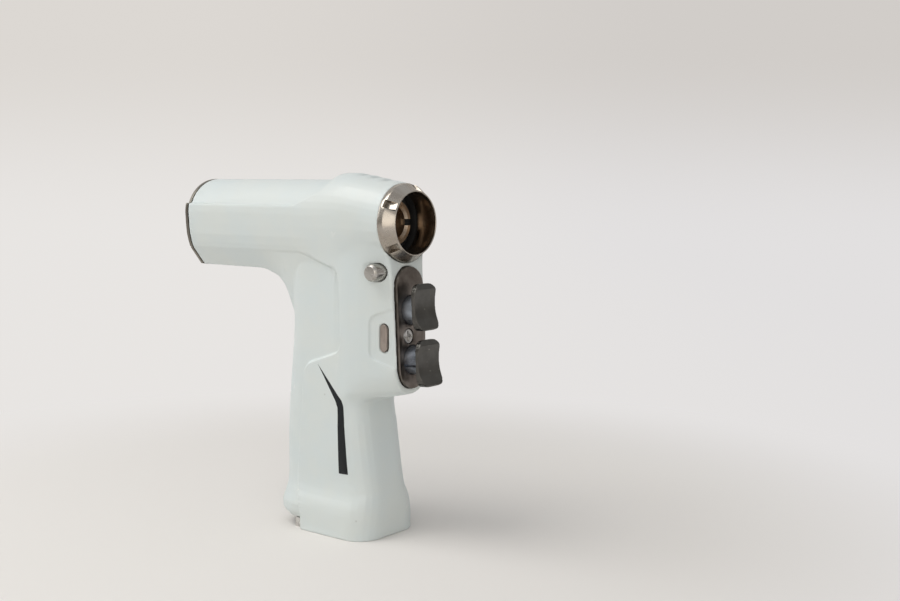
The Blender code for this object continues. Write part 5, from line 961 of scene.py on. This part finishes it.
class DRILL_OT_stage(bpy.types.Operator):
    """Lays the pale floor and backdrop, hangs the soft lights and sets the camera"""

    bl_idname = "drill.stage"
    bl_label = "Studio"

    def execute(self, context):
        scene = context.scene
        scene.view_settings.view_transform = "Standard"
        self.lay_paper(tuple(scene.drill_colours.floor))
        scene.world = self.make_air()
        for name, offset, size, power, tint in LAMPS:
            lamp = bpy.data.lights.new(name, "AREA")
            lamp.shape = "DISK"
            lamp.size = size
            lamp.energy = power
            lamp.color = tint
            holder = bpy.data.objects.new(name, lamp)
            context.collection.objects.link(holder)
            holder.location = LAMP_TARGET + Vector(offset)
            holder.rotation_euler = (-Vector(offset)).to_track_quat("-Z", "Y").to_euler()

        lens = bpy.data.cameras.new("photo_camera")
        lens.sensor_width = CAMERA_SENSOR
        lens.lens = CAMERA_LENS
        lens.clip_start = 0.01
        camera = bpy.data.objects.new("photo_camera", lens)
        context.collection.objects.link(camera)
        forward = Vector(CAMERA_LOOK).normalized()
        right = (ACROSS - forward * ACROSS.dot(forward)).normalized()
        up = right.cross(forward)
        basis = Matrix((right, up, -forward)).transposed().to_4x4()
        roll = Matrix.Rotation(CAMERA_ROLL, 4, "Z")
        camera.matrix_world = Matrix.Translation(CAMERA_PLACE) @ basis @ roll
        scene.camera = camera
        return {"FINISHED"}

    def lay_paper(self, colour):
        """A floor that curves up into a backdrop behind the drill."""
        select_only()
        bpy.ops.mesh.primitive_plane_add(size=2.0)
        floor = bpy.context.object
        floor.name = "studio_floor"
        edit(floor, "EDGE")
        bpy.ops.transform.resize(value=(4.0, 2.0, 1.0), center_override=(0, 0, 0))
        leave_edit()
        turn = math.atan2(ACROSS.y, ACROSS.x)
        floor.data.transform(Matrix.Translation(AWAY * 0.2) @ Matrix.Rotation(turn, 4, "Z"))
        edit(floor, "EDGE")
        pick(floor, "EDGE", lambda centre, item: centre.dot(AWAY) > 1.9)
        for step in range(8):
            angle = math.radians(90.0 * (step + 1) / 8 - 5.0)
            move = (AWAY * math.cos(angle) + Vector((0, 0, math.sin(angle)))) * 0.16
            bpy.ops.mesh.extrude_region_move(TRANSFORM_OT_translate={"value": move})
        bpy.ops.mesh.extrude_region_move(TRANSFORM_OT_translate={"value": (0, 0, 2.5)})
        bpy.ops.mesh.select_all(action="SELECT")
        bpy.ops.mesh.normals_make_consistent(inside=False)
        leave_edit()
        select_only(floor)
        bpy.ops.object.shade_smooth()
        work = Finish("studio_paper")
        skin = work.group("cast_skin", Grain_Scale=900.0, Cloud_Scale=2.5, Speck_Scale=200.0,
                          Speck_Amount=0.0)
        tone = work.mix(skin["Cloud"], tuple(part * 0.985 for part in colour), colour)
        floor.data.materials.append(work.done(tone, 0.75))
        self.paint_paper_light(work)

    @staticmethod
    def make_air():
        """A world that is warm below and cool above, and pale where the camera sees it."""
        world = bpy.data.worlds.new("studio_air")
        world.use_nodes = True
        tree = world.node_tree
        background = tree.nodes["Background"]
        direction = tree.nodes.new("ShaderNodeTexCoord")
        parts = tree.nodes.new("ShaderNodeSeparateXYZ")
        tree.links.new(direction.outputs["Generated"], parts.inputs["Vector"])
        ramp = tree.nodes.new("ShaderNodeValToRGB")
        ramp.color_ramp.elements[0].position = 0.0
        ramp.color_ramp.elements[0].color = AIR_LOW
        ramp.color_ramp.elements[1].position = 0.9
        ramp.color_ramp.elements[1].color = AIR_HIGH
        tree.links.new(remap(tree, parts.outputs["Z"], -0.2, 1.0, smooth=False),
                       ramp.inputs["Fac"])
        tree.links.new(ramp.outputs["Color"], background.inputs["Color"])
        background.inputs["Strength"].default_value = AIR_STRENGTH
        seen = tree.nodes.new("ShaderNodeBackground")
        seen.inputs["Color"].default_value = AIR_SEEN
        path = tree.nodes.new("ShaderNodeLightPath")
        choice = tree.nodes.new("ShaderNodeMixShader")
        tree.links.new(path.outputs["Is Camera Ray"], choice.inputs["Fac"])
        tree.links.new(background.outputs["Background"], choice.inputs[1])
        tree.links.new(seen.outputs["Background"], choice.inputs[2])
        tree.links.new(choice.outputs["Shader"], tree.nodes["World Output"].inputs["Surface"])
        return world

    @staticmethod
    def paint_paper_light(work):
        """Far from the drill the paper glows for camera and glossy rays, in a tone graded from
        near left to far right as painted light falloff, in place of its lit shading.
        """
        tree = work.tree
        away = tree.nodes.new("ShaderNodeSeparateXYZ")
        tree.links.new(work.vector, away.inputs["Vector"])
        flat = math_node(tree, "SQRT", math_node(
            tree, "ADD", math_node(tree, "MULTIPLY", away.outputs["X"], away.outputs["X"]),
            math_node(tree, "MULTIPLY", away.outputs["Y"], away.outputs["Y"])))
        across = math_node(tree, "ADD",
                           math_node(tree, "MULTIPLY", away.outputs["X"], ACROSS.x),
                           math_node(tree, "MULTIPLY", away.outputs["Y"], ACROSS.y))
        near_left, near_right, far_left, far_right = PAINTED_PAPER_LIGHT
        low = work.mix(remap(tree, across, -0.3, 0.6), near_left, near_right)
        high = work.mix(remap(tree, across, -0.8, 0.8), far_left, far_right)
        tone = work.mix(remap(tree, away.outputs["Z"], 0.0, 0.55), low, high)
        glow = tree.nodes.new("ShaderNodeEmission")
        tree.links.new(tone, glow.inputs["Color"])
        path = tree.nodes.new("ShaderNodeLightPath")
        seen = math_node(tree, "MAXIMUM", path.outputs["Is Camera Ray"],
                         path.outputs["Is Glossy Ray"])
        blend = tree.nodes.new("ShaderNodeMixShader")
        tree.links.new(math_node(tree, "MULTIPLY", seen, remap(tree, flat, 0.16, 0.36)),
                       blend.inputs["Fac"])
        tree.links.new(work.shader.outputs["BSDF"], blend.inputs[1])
        tree.links.new(glow.outputs["Emission"], blend.inputs[2])
        output = next(node for node in tree.nodes if node.type == "OUTPUT_MATERIAL")
        tree.links.new(blend.outputs["Shader"], output.inputs["Surface"])


class DRILL_PT_sidebar(bpy.types.Panel):
    """Lists the pieces that can be built"""

    bl_idname = "DRILL_PT_sidebar"
    bl_label = "Surgical Drill"
    bl_space_type = "VIEW_3D"
    bl_region_type = "UI"
    bl_category = "Drill"

    def draw(self, context):
        for group in (context.scene.drill_sizes, context.scene.drill_colours):
            for key in group.bl_rna.properties.keys():
                if key not in ("rna_type", "name"):
                    self.layout.prop(group, key)
        for operator in OPERATORS:
            self.layout.operator(operator.bl_idname)


OPERATORS = (DRILL_OT_housing, DRILL_OT_stripes, DRILL_OT_rear_cap, DRILL_OT_nose,
             DRILL_OT_triggers, DRILL_OT_plate, DRILL_OT_controls, DRILL_OT_inner,
             DRILL_OT_stage)
CLASSES = (DRILL_sizes, DRILL_colours) + OPERATORS + (DRILL_PT_sidebar,)


def register():
    for item in CLASSES:
        bpy.utils.register_class(item)
    bpy.types.Scene.drill_sizes = bpy.props.PointerProperty(type=DRILL_sizes)
    bpy.types.Scene.drill_colours = bpy.props.PointerProperty(type=DRILL_colours)


def unregister():
    del bpy.types.Scene.drill_colours
    del bpy.types.Scene.drill_sizes
    for item in reversed(CLASSES):
        bpy.utils.unregister_class(item)


def main():
    register()
    finishes.update(make_finishes(bpy.context.scene.drill_colours))
    bpy.ops.drill.housing()
    bpy.ops.drill.stripes()
    bpy.ops.drill.rear_cap()
    bpy.ops.drill.nose()
    bpy.ops.drill.triggers()
    bpy.ops.drill.plate()
    bpy.ops.drill.controls()
    bpy.ops.drill.inner()
    bpy.ops.drill.stage()


if __name__ == "__main__":
    main()
